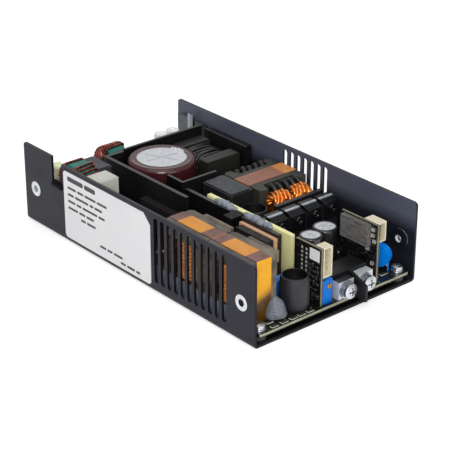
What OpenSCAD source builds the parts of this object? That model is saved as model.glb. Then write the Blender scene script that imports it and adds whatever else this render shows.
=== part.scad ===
// Open U-channel power supply: a folded steel channel that carries one main board
// with its filter, boost, bridge, transformer and output stages.
// Frame: origin under the middle of the channel, +X to the output end, -Y to the label wall, +Z up.

/* [Channel] */
// Length of the channel
channel_l = 177.8; // [176:0.1:220]
// Width of the channel over both walls
channel_w = 101.6; // [101:0.1:130]
// Height of the walls
channel_h = 41; // [40:0.1:60]
// Thickness of the folded sheet
sheet_t = 1.2; // [0.8:0.1:1.6]
// Outside radius of the two folds
fold_r = 1.8; // [1.8:0.1:4]
// Radius of the wall corners at the output end
front_corner_r = 2; // [1:0.1:6]
// Radius of the wall corners at the input end
rear_corner_r = 1.8; // [0.5:0.1:4]

/* [Wire notch] */
// Rise of the label wall above the rest between its input end and the notch
rear_tab_rise = 1.9; // [0.5:0.1:4]
// Distance of the notch from the input end of the label wall
notch_from_rear = 24.6; // [20:0.1:28]
// Length of the notch along the wall
notch_l = 8.3; // [5:0.1:10]
// Depth of the notch below the top edge
notch_depth = 12.8; // [8:0.1:18]

/* [Vent slots] */
// Width of one slot
slot_w = 3; // [1.6:0.1:3.4]
// Distance between slots
slot_pitch = 4.9; // [4.4:0.1:5.4]
// Number of slots in the label wall
label_wall_slots = 11; // [4:1:12]
// Number of slots in the far wall
far_wall_slots = 7; // [3:1:12]
// Height of the lower slot ends above the base
slot_low = 5.1; // [4:0.1:12]
// Distance of the upper slot ends below the top edge
slot_rim = 2.2; // [2:0.1:6]
// Distance of the label wall's last slot from the output end
label_slots_from_front = 20.8; // [17:0.1:26]
// Distance of the far wall's last slot from the output end
far_slots_from_front = 61.8; // [40:0.1:80]

/* [Side nuts] */
// Distance of each clinch nut from the end of the wall
nut_from_end = 9.2; // [8:0.1:12]
// Height of the nuts above the base
nut_z = 19.7; // [12:0.1:28]
// Diameter of the ring that shows in the wall
nut_ring_d = 7.9; // [6:0.1:10]
// Diameter of the nut body inside the wall
nut_body_d = 9.6; // [8:0.1:12]
// Thickness of the nut body inside the wall
nut_body_t = 1.5; // [1:0.1:2]
// Diameter of the threaded hole
nut_hole_d = 3.4; // [2.6:0.1:4.4]

/* [Label] */
// Length of the label
label_l = 69.5; // [40:0.1:70]
// Height of the label
label_h = 36.2; // [20:0.1:37]
// Thickness of the label film
label_t = 0.15; // [0.1:0.01:0.3]
// Radius of the label corners
label_r = 2; // [0.5:0.1:4]
// Size of the label's cut upper corner
label_cut = 5; // [2:0.1:8]
// Distance of the label from the wire notch
label_gap = 1.6; // [0.5:0.1:3]
// Height of the label's lower edge
label_z = 2.6; // [2:0.1:4]

/* [Main board] */
// Thickness of the board
board_t = 1.6; // [1:0.1:2.4]
// Gap between the board and the film's flap
board_side_gap = 0.2; // [0.1:0.1:1]
// Gap between the board and each end of the channel
board_end_gap = 0.5; // [0.2:0.1:1.5]
// Height of the standoffs between the floor and the board
standoff_h = 3; // [2.6:0.1:8]
// Diameter of the standoffs
standoff_d = 6.4; // [5.5:0.1:8]
// Thickness of the insulating film under the board
film_t = 0.4; // [0.2:0.1:0.6]
// Height of the film's upturned flap at the far wall
flap_h = 32.8; // [20:0.1:38]
// Length of the film's upturned flap
flap_l = 25; // [12:0.1:26]
// Distance of the end screws from the board's ends
screw_inset_x = 4.5; // [4:0.1:5]
// Distance of the screws from the board's sides
screw_inset_y = 3.4; // [3.4:0.1:4]
// Place of the middle pair of screws along the board
middle_screw_x = -18; // [-20:0.1:-15]
// Thread diameter of the board screws
board_screw_d = 3; // [2.5:0.1:3.5]
// Head diameter of the board screws
board_screw_head_d = 5.6; // [4.8:0.1:6]
// Diameter of the flat washer under each head
board_washer_d = 6.4; // [5.8:0.1:6.6]

/* [Input] */
// Width of the input header
inlet_w = 23.7; // [14:0.1:26]
// Depth of the input header
inlet_d = 8.6; // [6:0.1:9]
// Height of the input header's latch wall
inlet_h = 13; // [9:0.1:18]
// Thickness of the input header's base
inlet_base_h = 3.2; // [2:0.1:5]
// Distance between the outer input pins
inlet_pin_pitch = 7.92; // [5:0.01:9]
// Side of a square input pin
inlet_pin_d = 1.14; // [0.8:0.01:1.6]
// Diameter of a line fuse
fuse_d = 7; // [4:0.1:7.5]
// Height of a line fuse
fuse_h = 24.2; // [15:0.1:28]
// Distance between the two line fuses
fuse_pitch = 8; // [7.6:0.1:10]
// Length of the line capacitor
line_cap_l = 7.5; // [6:0.1:12]
// Width of the line capacitor
line_cap_w = 6.5; // [5:0.1:13]
// Height of the line capacitor
line_cap_h = 23.2; // [18:0.1:30]
// Length of the filter capacitor
filter_cap_l = 11; // [8:0.1:14]
// Width of the filter capacitor
filter_cap_w = 12.8; // [10:0.1:14]
// Height of the filter capacitor
filter_cap_h = 32.8; // [20:0.1:34]
// Length of the relay between the chokes
relay_l = 16; // [12:0.1:18]
// Width of the relay
relay_w = 8.6; // [6:0.1:9.5]
// Height of the relay
relay_h = 29.9; // [20:0.1:32]

/* [Filter chokes] */
// Outside diameter of a ring core
ring_od = 18.4; // [16:0.1:20]
// Inside diameter of a ring core
ring_id = 9.8; // [9:0.1:11]
// Thickness of a ring core
ring_t = 10.4; // [7:0.1:11]
// Thickness of the choke wire
ring_wire = 0.9; // [0.6:0.05:1]
// Turns on each half of a ring
ring_turns = 8; // [4:1:9]
// Angle between turns
ring_turn_angle = 14; // [13.6:0.1:16]
// Turn of the near ring's bare gap from the top towards the input end
near_gap_turn = 24; // [-30:1:30]
// Turn of the rear ring's bare gap from the top towards the input end
rear_gap_turn = -24; // [-30:1:30]
// Height of the near ring's lowest point above the board
near_ring_lift = 13.9; // [6:0.1:14.4]
// Height of the rear ring's lowest point above the board
rear_ring_lift = 8.3; // [6:0.1:9.4]
// Height of the cradle above a ring's lowest point
cradle_rise = 8; // [4:0.1:9]

/* [Plates] */
// Thickness of the cooling plates
plate_t = 2; // [1.2:0.1:2.6]
// Thickness of the black partitions
partition_t = 1.5; // [0.8:0.1:2]
// Height of the left cooling plate
left_plate_h = 30.2; // [20:0.1:32]
// Length of the left cooling plate
left_plate_l = 66; // [50:0.1:70]
// Length of the left cooling plate's folded end
left_plate_fold = 11.5; // [6:0.1:12]
// Distance of the left cooling plate from the label wall
left_plate_y = 27.8; // [24:0.1:28]
// Height of the rear partition
rear_partition_h = 30.2; // [24:0.1:33]
// Height of the divider in front of the bulk capacitor
divider_h = 29.2; // [20:0.1:32]
// Width of the far cooling bar
far_bar_w = 4.2; // [3:0.1:4.6]
// Length of the far cooling bar
far_bar_l = 33; // [24:0.1:36]
// Height of the far cooling bar
far_bar_h = 28.2; // [20:0.1:32]
// Length of the bridge cooling plate
bridge_plate_l = 68.5; // [50:0.1:72]
// Height of the bridge cooling plate
bridge_plate_h = 26.2; // [20:0.1:30]
// Length of the bare isolation board
isolation_l = 60; // [40:0.1:63]
// Height of the bare isolation board
isolation_h = 27.2; // [20:0.1:31]
// Thickness of the bare isolation board
isolation_t = 2.4; // [1.2:0.1:3]

/* [Bulk capacitor] */
// Diameter over the sleeve
bulk_d = 35; // [30:0.1:36]
// Height of the can
bulk_h = 30.2; // [25:0.1:33]
// Diameter of the bare aluminium seen inside the sleeve's rim
bulk_bare_d = 25.6; // [18:0.1:28]
// Radius of the can's shoulder
bulk_shoulder_r = 2.6; // [1:0.1:3.4]
// Thickness of a capacitor sleeve
sleeve_t = 0.3; // [0.2:0.05:0.6]
// Width of the vent score lines
score_w = 0.7; // [0.4:0.1:1.2]

/* [Boost choke] */
// Length of the boost choke
boost_l = 31; // [26:0.1:33]
// Width of the boost choke
boost_w = 21.5; // [18:0.1:22.5]
// Height of the boost choke
boost_h = 25.2; // [20:0.1:28]
// Thickness of the core's end blocks
boost_end_t = 7; // [5:0.1:8]
// Diameter of the core's middle leg
boost_leg_d = 9; // [7:0.1:10]
// Thickness of the boost winding wire
boost_wire = 2; // [1.2:0.1:2.2]
// Thickness of the boost winding on the middle leg
boost_build = 5.7; // [3:0.1:6]

/* [Resonant choke] */
// Length of the resonant choke
resonant_l = 22.3; // [16:0.1:23]
// Width of the resonant choke
resonant_w = 13.9; // [10:0.1:14]
// Height of the resonant choke
resonant_h = 27; // [18:0.1:28]

/* [Transformer] */
// Size of the transformer core along the channel
trafo_l = 28.8; // [24:0.1:30]
// Size of the transformer core across the channel
trafo_w = 31; // [27:0.1:32]
// Height of the transformer core
trafo_h = 26.4; // [22:0.1:30]
// Thickness of the core's end legs
trafo_leg = 4.6; // [3.5:0.1:5]
// Thickness of the core's yokes
trafo_yoke = 5; // [4:0.1:6]
// Diameter of the core's middle leg
trafo_post_d = 11; // [9:0.1:12]
// Width of the winding between the end legs
trafo_coil_w = 20; // [18:0.1:20.8]
// Overhang of the winding past the core at each side
trafo_coil_over = 4.2; // [2:0.1:6]
// Thickness of the bobbin walls
bobbin_t = 1.2; // [0.8:0.1:1.6]
// Depth of the waist in the core's two long sides
trafo_waist = 5.6; // [2:0.1:6]
// Height of the bobbin's front rail
bobbin_rail_h = 3.2; // [2:0.1:5]
// Width of the tape round the transformer core
trafo_tape_w = 11; // [8:0.1:16]
// Number of wire bundles at the output side
bundle_n = 4; // [2:1:4]
// Diameter of a wire bundle
bundle_d = 5.8; // [4:0.1:6]
// Distance between the wire bundles
bundle_pitch = 6.2; // [5:0.1:6.6]

/* [Taped chokes] */
// Length of a taped choke core
taped_l = 30.2; // [26:0.1:30.6]
// Width of a taped choke core
taped_w = 18; // [15:0.1:20]
// Height of a taped choke core
taped_h = 30.4; // [24:0.1:32]
// Thickness of the core's end legs
taped_leg = 5; // [4:0.1:6]
// Thickness of the core's yokes
taped_yoke = 5.6; // [4:0.1:7]
// Diameter of the core's middle leg
taped_post_d = 9; // [7:0.1:10]
// Diameter of the coil
taped_coil_d = 18.6; // [15:0.1:19]
// Thickness of the coil wire
taped_wire = 1.8; // [1.2:0.1:2.2]
// Width of the tape round the core
taped_tape_w = 8.6; // [5:0.1:12]
// Thickness of the tape
tape_t = 0.25; // [0.1:0.01:0.4]
// Depth of the ledge on the far side of a taped core
taped_ledge = 2.2; // [1:0.1:3]
// Distance of the taped chokes from the label wall
taped_wall_gap = 3.2; // [2.6:0.1:4]

/* [Bridge module] */
// Length of the bridge module
module_l = 22; // [16:0.1:24]
// Height of the bridge module
module_h = 16; // [12:0.1:18]
// Thickness of the bridge module
module_t = 4; // [3:0.1:5]
// Length of the insulating pad behind the module
pad_l = 25; // [24.5:0.1:28]
// Height of the insulating pad
pad_h = 24.4; // [20:0.1:25]
// Thickness of the insulating pad
pad_t = 1.8; // [0.8:0.1:2.4]
// Width of the black hold-down clip beside the module
hold_clip_w = 6; // [4:0.1:7]

/* [Rectifier] */
// Width of the rectifier cooling plate
rectifier_w = 45; // [40:0.1:45.5]
// Height of the rectifier cooling plate
rectifier_h = 22.7; // [20:0.1:28]
// Number of transistors on the plate
rectifier_n = 4; // [2:1:4]
// Distance between the transistors
rectifier_pitch = 11; // [10.5:0.1:11.2]
// Width of a transistor body
transistor_w = 10; // [8:0.1:10.2]
// Thickness of a transistor body
transistor_t = 4.5; // [3:0.1:5]
// Height of a transistor body
transistor_h = 15; // [12:0.1:16]
// Length of the transistor leads above the board
lead_h = 5.4; // [4:0.1:5.6]
// Thickness of the spring clips
clip_t = 0.6; // [0.4:0.1:0.8]
// Width of a spring clip
clip_w = 9; // [6:0.1:10]

/* [Output capacitors] */
// Diameter of the far output capacitor
far_cap_d = 12.5; // [10:0.1:13]
// Height of the far output capacitor
far_cap_h = 21.2; // [15:0.1:25]
// Diameter of the near output capacitor
near_cap_d = 11.4; // [8:0.1:11.6]
// Height of the near output capacitor
near_cap_h = 25.2; // [15:0.1:27]

/* [Drum chokes] */
// Diameter of a drum choke over its sleeve
drum_d = 14; // [10:0.1:14]
// Height of the front drum choke
front_drum_h = 16.7; // [12:0.1:20]
// Height of the middle drum choke
middle_drum_h = 21.2; // [14:0.1:24]
// Depth of the hollow at the top
drum_hollow = 3.6; // [1:0.1:5]
// Wall of the shrunk sleeve at the top
drum_lip = 0.6; // [0.4:0.1:1.6]

/* [Control board] */
// Length of the control board
control_l = 17; // [14:0.1:17.5]
// Height of the control board
control_h = 29; // [24:0.1:32]
// Thickness of the upright boards
upright_t = 1.6; // [1:0.1:2]
// Distance of the control board from the middle line
control_y = 8.5; // [8:0.1:9.5]
// Length of the control header
control_header_l = 5.4; // [4:0.1:10]
// Width of the control header
control_header_w = 5.6; // [5.6:0.1:6.8]
// Height of the control header
control_header_h = 15; // [10:0.1:16]
// Wall of the header shells
header_wall = 0.7; // [0.6:0.1:0.8]
// Depth of the header sockets
socket_depth = 7; // [5:0.1:7.5]

/* [Trimmer] */
// Depth of the trimmer body
trimmer_d = 5.1; // [4:0.1:6]
// Width of the trimmer body
trimmer_w = 6.6; // [5:0.1:7]
// Height of the trimmer body
trimmer_h = 11.8; // [9:0.1:12.5]
// Diameter of the adjusting screw
trim_screw_d = 2.6; // [2:0.1:3]
// Length of the adjusting screw
trim_screw_l = 1.8; // [1.2:0.1:2.4]

/* [Auxiliary board] */
// Length of the auxiliary board
aux_l = 24; // [20:0.1:25]
// Height of the auxiliary board
aux_h = 29.7; // [24:0.1:32]
// Distance of the auxiliary board from the middle line
aux_y = 26.5; // [26.4:0.1:28]
// Length of the auxiliary header
aux_header_l = 9; // [7:0.1:14]
// Width of the auxiliary header
aux_header_w = 5.6; // [5.6:0.1:7]
// Height of the auxiliary header
aux_header_h = 10; // [8:0.1:16]
// Length of the grey gap pad
gap_pad_l = 18; // [12:0.1:20]
// Height of the grey gap pad
gap_pad_h = 11; // [8:0.1:11.5]
// Thickness of the grey gap pad
gap_pad_t = 2.6; // [1.5:0.1:2.8]

/* [Output terminals] */
// Distance between the two terminals
terminal_pitch = 12.3; // [12:0.1:13]
// Distance of the near terminal from the middle line
terminal_y = 6.2; // [6.2:0.1:6.6]
// Width of a terminal block
terminal_w = 9.4; // [8:0.1:9.6]
// Depth of a terminal block
terminal_d = 4.6; // [4:0.1:6]
// Height of a terminal block
terminal_h = 9; // [8:0.1:10]
// Thread diameter of the terminal screws
terminal_screw_d = 4; // [3:0.1:4.5]
// Head diameter of the terminal screws
terminal_head_d = 7.4; // [6:0.1:7.6]
// Diameter of the terminal washers
terminal_washer_d = 8.9; // [7.5:0.1:9]
// Depth of the black carrier behind the terminals
carrier_d = 10.6; // [6:0.1:11]
// Height of the black carrier behind the terminals
carrier_h = 10.7; // [9.2:0.1:13]
// Thickness of the barrier between the terminals
barrier_t = 1.4; // [1:0.1:1.8]
// Reach of the barrier past the end of the channel
barrier_reach = 6.1; // [4.5:0.1:8]

/* [Suppressor] */
// Diameter of the blue disc capacitor
disc_d = 11; // [8:0.1:11.5]
// Thickness of the blue disc capacitor
disc_t = 4; // [2.5:0.1:5]
// Diameter of the small disc capacitor
small_disc_d = 10; // [7:0.1:10.4]

/* [Hidden] */
$fn = 64;
slip_gap = 0.05;
seat_gap = 0.3;
part_gap = 1;

sheet_black = "#33343b";
plate_black = "#1c1d20";
film_black = "#101114";
ferrite_grey = "#4c4a46";
copper_orange = "#d07a2c";
tape_orange = "#f0a030";
laminate_yellow = "#dcdc96";
ivory = "#e4dcc0";
zinc = "#c8ccd0";

// Sizes fitted to the channel: lengths follow its length, widths its width, round parts the tighter one
design_l = 177.8;
design_w = 101.6;
function along(size) = size * channel_l / design_l;
function across(size) = size * channel_w / design_w;
function round_fit(size) = min(along(size), across(size));
fit_notch_from_rear = along(notch_from_rear);
fit_notch_l = along(notch_l);
fit_slot_pitch = along(slot_pitch);
fit_slot_w = along(slot_w);
fit_label_slots_from_front = along(label_slots_from_front);
fit_far_slots_from_front = along(far_slots_from_front);
fit_label_l = along(label_l);
fit_label_gap = along(label_gap);
fit_middle_screw_x = along(middle_screw_x);
fit_flap_l = along(flap_l);
fit_inlet_d = along(inlet_d);
fit_line_cap_l = along(line_cap_l);
fit_filter_cap_l = along(filter_cap_l);
fit_relay_l = along(relay_l);
fit_left_plate_l = along(left_plate_l);
fit_far_bar_l = along(far_bar_l);
fit_bridge_plate_l = along(bridge_plate_l);
fit_isolation_l = along(isolation_l);
fit_boost_l = along(boost_l);
fit_boost_end_t = along(boost_end_t);
fit_resonant_l = along(resonant_l);
fit_trafo_l = along(trafo_l);
fit_trafo_coil_over = along(trafo_coil_over);
fit_trafo_tape_w = along(trafo_tape_w);
fit_trafo_waist = along(trafo_waist);
fit_taped_l = along(taped_l);
fit_taped_leg = along(taped_leg);
fit_module_l = along(module_l);
fit_pad_l = along(pad_l);
fit_hold_clip_w = along(hold_clip_w);
fit_control_l = along(control_l);
fit_control_header_l = along(control_header_l);
fit_aux_l = along(aux_l);
fit_aux_header_l = along(aux_header_l);
fit_gap_pad_l = along(gap_pad_l);
fit_trimmer_d = along(trimmer_d);
fit_terminal_d = along(terminal_d);
fit_carrier_d = along(carrier_d);
fit_socket_depth = along(socket_depth);
fit_transistor_t = along(transistor_t);
fit_inlet_w = across(inlet_w);
fit_inlet_pin_pitch = across(inlet_pin_pitch);
fit_fuse_pitch = across(fuse_pitch);
fit_line_cap_w = across(line_cap_w);
fit_filter_cap_w = across(filter_cap_w);
fit_relay_w = across(relay_w);
fit_left_plate_y = across(left_plate_y);
fit_left_plate_fold = across(left_plate_fold);
fit_far_bar_w = across(far_bar_w);
fit_boost_w = across(boost_w);
fit_resonant_w = across(resonant_w);
fit_trafo_w = across(trafo_w);
fit_trafo_leg = across(trafo_leg);
fit_trafo_coil_w = across(trafo_coil_w);
fit_bundle_pitch = across(bundle_pitch);
fit_taped_w = across(taped_w);
fit_taped_tape_w = across(taped_tape_w);
fit_taped_wall_gap = across(taped_wall_gap);
fit_taped_ledge = across(taped_ledge);
fit_module_t = across(module_t);
fit_pad_t = across(pad_t);
fit_rectifier_w = across(rectifier_w);
fit_rectifier_pitch = across(rectifier_pitch);
fit_transistor_w = across(transistor_w);
fit_clip_w = across(clip_w);
fit_control_y = across(control_y);
fit_control_header_w = across(control_header_w);
fit_trimmer_w = across(trimmer_w);
fit_aux_y = across(aux_y);
fit_aux_header_w = across(aux_header_w);
fit_gap_pad_t = across(gap_pad_t);
fit_terminal_pitch = across(terminal_pitch);
fit_terminal_y = across(terminal_y);
fit_terminal_w = across(terminal_w);
fit_fuse_d = round_fit(fuse_d);
fit_ring_od = round_fit(ring_od);
fit_ring_id = round_fit(ring_id);
fit_ring_t = round_fit(ring_t);
fit_ring_wire = round_fit(ring_wire);
fit_bulk_d = round_fit(bulk_d);
fit_bulk_bare_d = round_fit(bulk_bare_d);
fit_boost_leg_d = round_fit(boost_leg_d);
fit_boost_build = round_fit(boost_build);
fit_trafo_post_d = round_fit(trafo_post_d);
fit_bundle_d = round_fit(bundle_d);
fit_taped_post_d = round_fit(taped_post_d);
fit_taped_coil_d = round_fit(taped_coil_d);
fit_far_cap_d = round_fit(far_cap_d);
fit_near_cap_d = round_fit(near_cap_d);
fit_drum_d = round_fit(drum_d);
fit_disc_d = round_fit(disc_d);
fit_disc_t = round_fit(disc_t);
fit_small_disc_d = round_fit(small_disc_d);
fit_terminal_washer_d = round_fit(terminal_washer_d);
fit_terminal_head_d = round_fit(terminal_head_d);
fit_terminal_screw_d = round_fit(terminal_screw_d);

// Channel and board levels
front_x = channel_l / 2;
tab_top = channel_h + rear_tab_rise;
rear_x = -channel_l / 2;
inner_w = channel_w / 2 - sheet_t;
label_wall_y = -inner_w;
far_wall_y = inner_w;
board_z = sheet_t + standoff_h;
top_z = board_z + board_t;
board_front = front_x - board_end_gap;
board_rear = rear_x + board_end_gap;
flap_y = far_wall_y - nut_body_t - seat_gap - film_t;
board_half_w = flap_y - board_side_gap;
screw_front_x = board_front - screw_inset_x;
screw_rear_x = board_rear + screw_inset_x;
screw_y = board_half_w - screw_inset_y;
board_holes = [
  for (x = [screw_rear_x, fit_middle_screw_x, screw_front_x], y = [-screw_y, screw_y]) [x, y]
];
nut_xs = [rear_x + nut_from_end, front_x - nut_from_end];

// Gaps between the stages, which also follow the channel
inlet_inset = along(1.4);
inlet_mid = across(11.7);
fuse_inset = along(11.4);
fuse_row = across(28);
line_cap_inset = along(4.4);
near_choke_gap = along(10.8);
choke_wall_gap = across(3);
filter_gap = along(4.1);
filter_wall_gap = across(2.4);
relay_gap = across(0.8);
relay_back = along(1.5);
rear_choke_mid = across(6.8);
rear_choke_inset = along(5.9);
bulk_rear_gap = along(1.9);
bulk_side_gap = across(2.7);
boost_rear_gap = along(0.9);
boost_side_gap = across(2.3);
far_bar_gap = across(2.2);
partition_gap = across(4);
divider_gap = along(11.4);
divider_offset = across(9.2);
divider_w = across(22);
divider_front_gap = along(0.9);
plate_step = across(0.5);
isolation_inset = along(14);
isolation_gap = across(0.8);
resonant_gap = across(5.8);
trafo_gap = along(17.8);
trafo_side_gap = across(0.7);
pad_inset = along(0.5);
rectifier_gap = along(6);
rectifier_wall_gap = across(2.8);
upright_inset = along(1.8);
terminal_inset = along(0.6);
carrier_side = across(0.4);
near_cap_mid = across(3.8);
far_cap_back = along(5);
far_cap_side = across(5.6);
drum_inset = along(0.7);
drum_side_gap = across(1.8);
middle_drum_gap = along(1.8);
middle_drum_side = across(6.1);
trimmer_inset = along(0.6);
trimmer_side = across(0.2);
disc_inset = along(3.6);
disc_side = across(5);
small_disc_gap = along(2.6);
small_disc_side = across(0.6);
gap_pad_inset = along(2);
aux_header_inset = along(1.4);

// Input stage, laid out from the input end
ring_r = fit_ring_od / 2 + fit_ring_wire + slip_gap;
ring_depth = fit_ring_t + 2 * (fit_ring_wire + slip_gap);
near_ring_z = top_z + near_ring_lift + ring_r;
rear_ring_z = top_z + rear_ring_lift + ring_r;
inlet_x = board_rear + inlet_inset;
fuse_x = board_rear + fuse_inset;
line_cap_x = board_rear + line_cap_inset;
line_cap_y = -screw_y + board_washer_d / 2 + part_gap;
near_choke_x = line_cap_x + fit_line_cap_l + near_choke_gap + ring_r;
near_choke_y = label_wall_y + choke_wall_gap + ring_depth / 2;
filter_cap_x = near_choke_x + ring_r + filter_gap;
filter_cap_y = label_wall_y + filter_wall_gap;
relay_x = near_choke_x - fit_relay_l / 2 - relay_back;
relay_y = near_choke_y + ring_depth / 2 + relay_gap;
rear_choke_x = board_rear + rear_choke_inset + ring_r;
rear_choke_y = -rear_choke_mid;
rear_partition_x = rear_choke_x + ring_r + seat_gap;

// Boost stage
primary_x = rear_partition_x + partition_t;
left_plate_y0 = label_wall_y + fit_left_plate_y;
bulk_r = fit_bulk_d / 2;
bulk_x = primary_x + bulk_rear_gap + bulk_r;
bulk_y = left_plate_y0 + plate_t + bulk_side_gap + bulk_r;
boost_x = primary_x + boost_rear_gap;
boost_y = bulk_y + bulk_r + boost_side_gap;
boost_z = top_z + boost_h / 2;
far_bar_y = boost_y + fit_boost_w + far_bar_gap;
far_bar_x = boost_x;

// Bridge stage and transformer
divider_x = bulk_x + bulk_r + divider_gap;
divider_y = left_plate_y0 + plate_t + divider_offset;
divider_end_y = divider_y + divider_w;
resonant_x = divider_x + partition_t + divider_front_gap;
bridge_plate_x = resonant_x;
bridge_plate_y = divider_y + plate_step;
isolation_x = bridge_plate_x + isolation_inset;
isolation_y = bridge_plate_y + plate_t + isolation_gap;
resonant_y = isolation_y + isolation_t + resonant_gap;
trafo_x = boost_x + fit_boost_l + trafo_gap;
trafo_y = resonant_y + fit_resonant_w + trafo_side_gap;
trafo_z = top_z + tape_t;
pad_x = bridge_plate_x + fit_bridge_plate_l - pad_inset - fit_pad_l;
module_x = pad_x + fit_pad_l - 2 * pad_inset - fit_module_l;

// Taped chokes, laid out from the output end
front_taped_x = screw_front_x - board_washer_d / 2 - part_gap - tape_t - fit_taped_l;
rear_taped_x = front_taped_x - 2 * tape_t - seat_gap - fit_taped_l;
taped_y = label_wall_y + fit_taped_wall_gap;

// Rectifier
rectifier_x = trafo_x + fit_trafo_l + fit_trafo_coil_over + fit_bundle_d + rectifier_gap;
rectifier_y = far_wall_y - rectifier_wall_gap - fit_rectifier_w;

// Output end
upright_front = board_front - upright_inset;
control_x = upright_front - fit_control_l;
control_y0 = -fit_control_y - upright_t / 2;
control_face = control_y0 + upright_t;
aux_x = upright_front - fit_aux_l;
aux_face = fit_aux_y + upright_t;
terminal_x = board_front - terminal_inset - fit_terminal_d;
terminal_z = top_z + terminal_h / 2;
terminal_ys = [fit_terminal_y, fit_terminal_y + fit_terminal_pitch];
barrier_y = fit_terminal_y + fit_terminal_pitch / 2 - barrier_t / 2;
carrier_x = terminal_x - fit_carrier_d;
carrier_y = fit_terminal_y - fit_terminal_w / 2 - carrier_side;
carrier_w = fit_terminal_pitch + fit_terminal_w + 2 * carrier_side;
near_cap_x = carrier_x - part_gap - fit_near_cap_d / 2;
far_cap_x = aux_x - far_cap_back;
far_cap_y = fit_aux_y - far_cap_side;
drum_r = fit_drum_d / 2;
front_drum_x = upright_front - drum_inset - drum_r;
front_drum_y = control_y0 - drum_side_gap - drum_r;
middle_drum_x = resonant_x + fit_resonant_l + middle_drum_gap + drum_r;
middle_drum_y = isolation_y + isolation_t + middle_drum_side + drum_r;
trimmer_x = upright_front - trimmer_inset;
trimmer_y = control_face + trimmer_side;
trim_axis_y = trimmer_y + fit_trimmer_w * 0.66;
trim_axis_z = top_z + trimmer_h * 0.73;
disc_x = screw_front_x - board_washer_d / 2 - disc_inset;
disc_y = screw_y - disc_side;
disc_lift = 2;
small_disc_x = front_drum_x - drum_r - small_disc_gap;
small_disc_y = front_drum_y + small_disc_side;

// Block with its low corner at the given place
module block(place, size) {
  translate(place) cube(size);
}

// Flat outline with round corners, low corner at the origin
module round_rect(l, w, r) {
  translate([r, 0]) square([l - 2 * r, w]);
  translate([0, r]) square([l, w - 2 * r]);
  for (x = [r, l - r], y = [r, w - r]) translate([x, y]) circle(r);
}

// Block with round upright edges and a stepped top, as a potted box has
module potted_box(place, size, r, step) {
  translate(place) {
    linear_extrude(size[2] - step) round_rect(size[0], size[1], r);
    translate([step, step, size[2] - step])
      linear_extrude(step) round_rect(size[0] - 2 * step, size[1] - 2 * step, r);
  }
}

// Turns a flat outline in X and Z into a solid from y0 towards +Y
module along_y(y0, depth) {
  translate([0, y0 + depth, 0]) rotate([90, 0, 0]) linear_extrude(depth) children();
}

// Turns a flat outline in Y and Z into a solid from x0 towards +X
module along_x(x0, depth) {
  translate([x0, 0, 0]) rotate([90, 0, 90]) linear_extrude(depth) children();
}

// Folded channel: section, vents, notch, nut holes and standoff holes
module channel_outline(inset) {
  r = fold_r - inset;
  half_w = channel_w / 2 - inset;
  translate([-half_w, fold_r]) square([2 * half_w, tab_top]);
  translate([-half_w + r, inset]) square([2 * (half_w - r), tab_top]);
  for (y = [-1, 1]) translate([y * (half_w - r), inset + r]) circle(r);
}

module channel_section() {
  intersection() {
    difference() {
      channel_outline(0);
      channel_outline(sheet_t);
    }
    translate([-channel_w / 2, 0]) square([channel_w, tab_top]);
  }
}

module corner_cut(x, r, top) {
  side = x > 0 ? 1 : -1;
  translate([x - side * r, top - r]) difference() {
    translate([side > 0 ? 0 : -r - part_gap, 0]) square([r + part_gap, r + part_gap]);
    circle(r);
  }
}

module slot_row(last_x, count) {
  low = slot_low + fit_slot_w / 2;
  high = channel_h - slot_rim - fit_slot_w / 2;
  for (i = [0 : count - 1]) translate([last_x - i * fit_slot_pitch, 0]) {
    translate([-fit_slot_w / 2, low]) square([fit_slot_w, high - low]);
    for (z = [low, high]) translate([0, z]) circle(fit_slot_w / 2);
  }
}

module wall_cuts(rear_top) {
  corner_cut(front_x, front_corner_r, channel_h);
  corner_cut(rear_x, rear_corner_r, rear_top);
  for (x = nut_xs) translate([x, nut_z]) circle(nut_ring_d / 2);
}

// Cuts both walls down to one height, all but the tab behind the notch
module tab_trim() {
  tab_l = fit_notch_from_rear + part_gap;
  trim_h = rear_tab_rise + part_gap;
  block([rear_x + fit_notch_from_rear, -channel_w / 2 - part_gap, channel_h],
        [channel_l, channel_w + 2 * part_gap, trim_h]);
  block([rear_x - part_gap, 0, channel_h], [tab_l + part_gap, channel_w / 2 + part_gap, trim_h]);
}

module channel() {
  cut = sheet_t + 2 * part_gap;
  color(sheet_black) difference() {
    along_x(rear_x, channel_l) channel_section();
    along_y(-channel_w / 2 - part_gap, cut) {
      wall_cuts(tab_top);
      slot_row(front_x - fit_label_slots_from_front, label_wall_slots);
      translate([rear_x + fit_notch_from_rear, channel_h - notch_depth])
        square([fit_notch_l, notch_depth + part_gap]);
    }
    along_y(inner_w - part_gap, cut) {
      wall_cuts(channel_h);
      slot_row(front_x - fit_far_slots_from_front, far_wall_slots);
    }
    tab_trim();
    for (p = board_holes) translate([p[0], p[1], -part_gap])
      cylinder(d = standoff_d - 2, h = sheet_t + 2 * part_gap);
  }
}

// Clinch nut: a ring flush in the wall and a body inside it
module clinch_nut() {
  difference() {
    union() {
      cylinder(d = nut_ring_d - 2 * slip_gap, h = sheet_t);
      translate([0, 0, sheet_t]) cylinder(d = nut_body_d, h = nut_body_t);
    }
    translate([0, 0, -part_gap])
      cylinder(d = nut_hole_d, h = sheet_t + nut_body_t + 2 * part_gap);
  }
}

module side_nuts() {
  color(zinc) for (x = nut_xs, side = [-1, 1])
    translate([x, side * channel_w / 2, nut_z]) rotate([side * 90, 0, 0]) clinch_nut();
}

module rating_label() {
  x0 = rear_x + fit_notch_from_rear + fit_notch_l + fit_label_gap;
  color("white") along_y(-channel_w / 2 - label_t, label_t)
    translate([x0, label_z]) difference() {
      round_rect(fit_label_l, label_h, label_r);
      translate([fit_label_l, label_h - label_cut]) rotate(45)
        square(label_cut * 2);
    }
}

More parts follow.
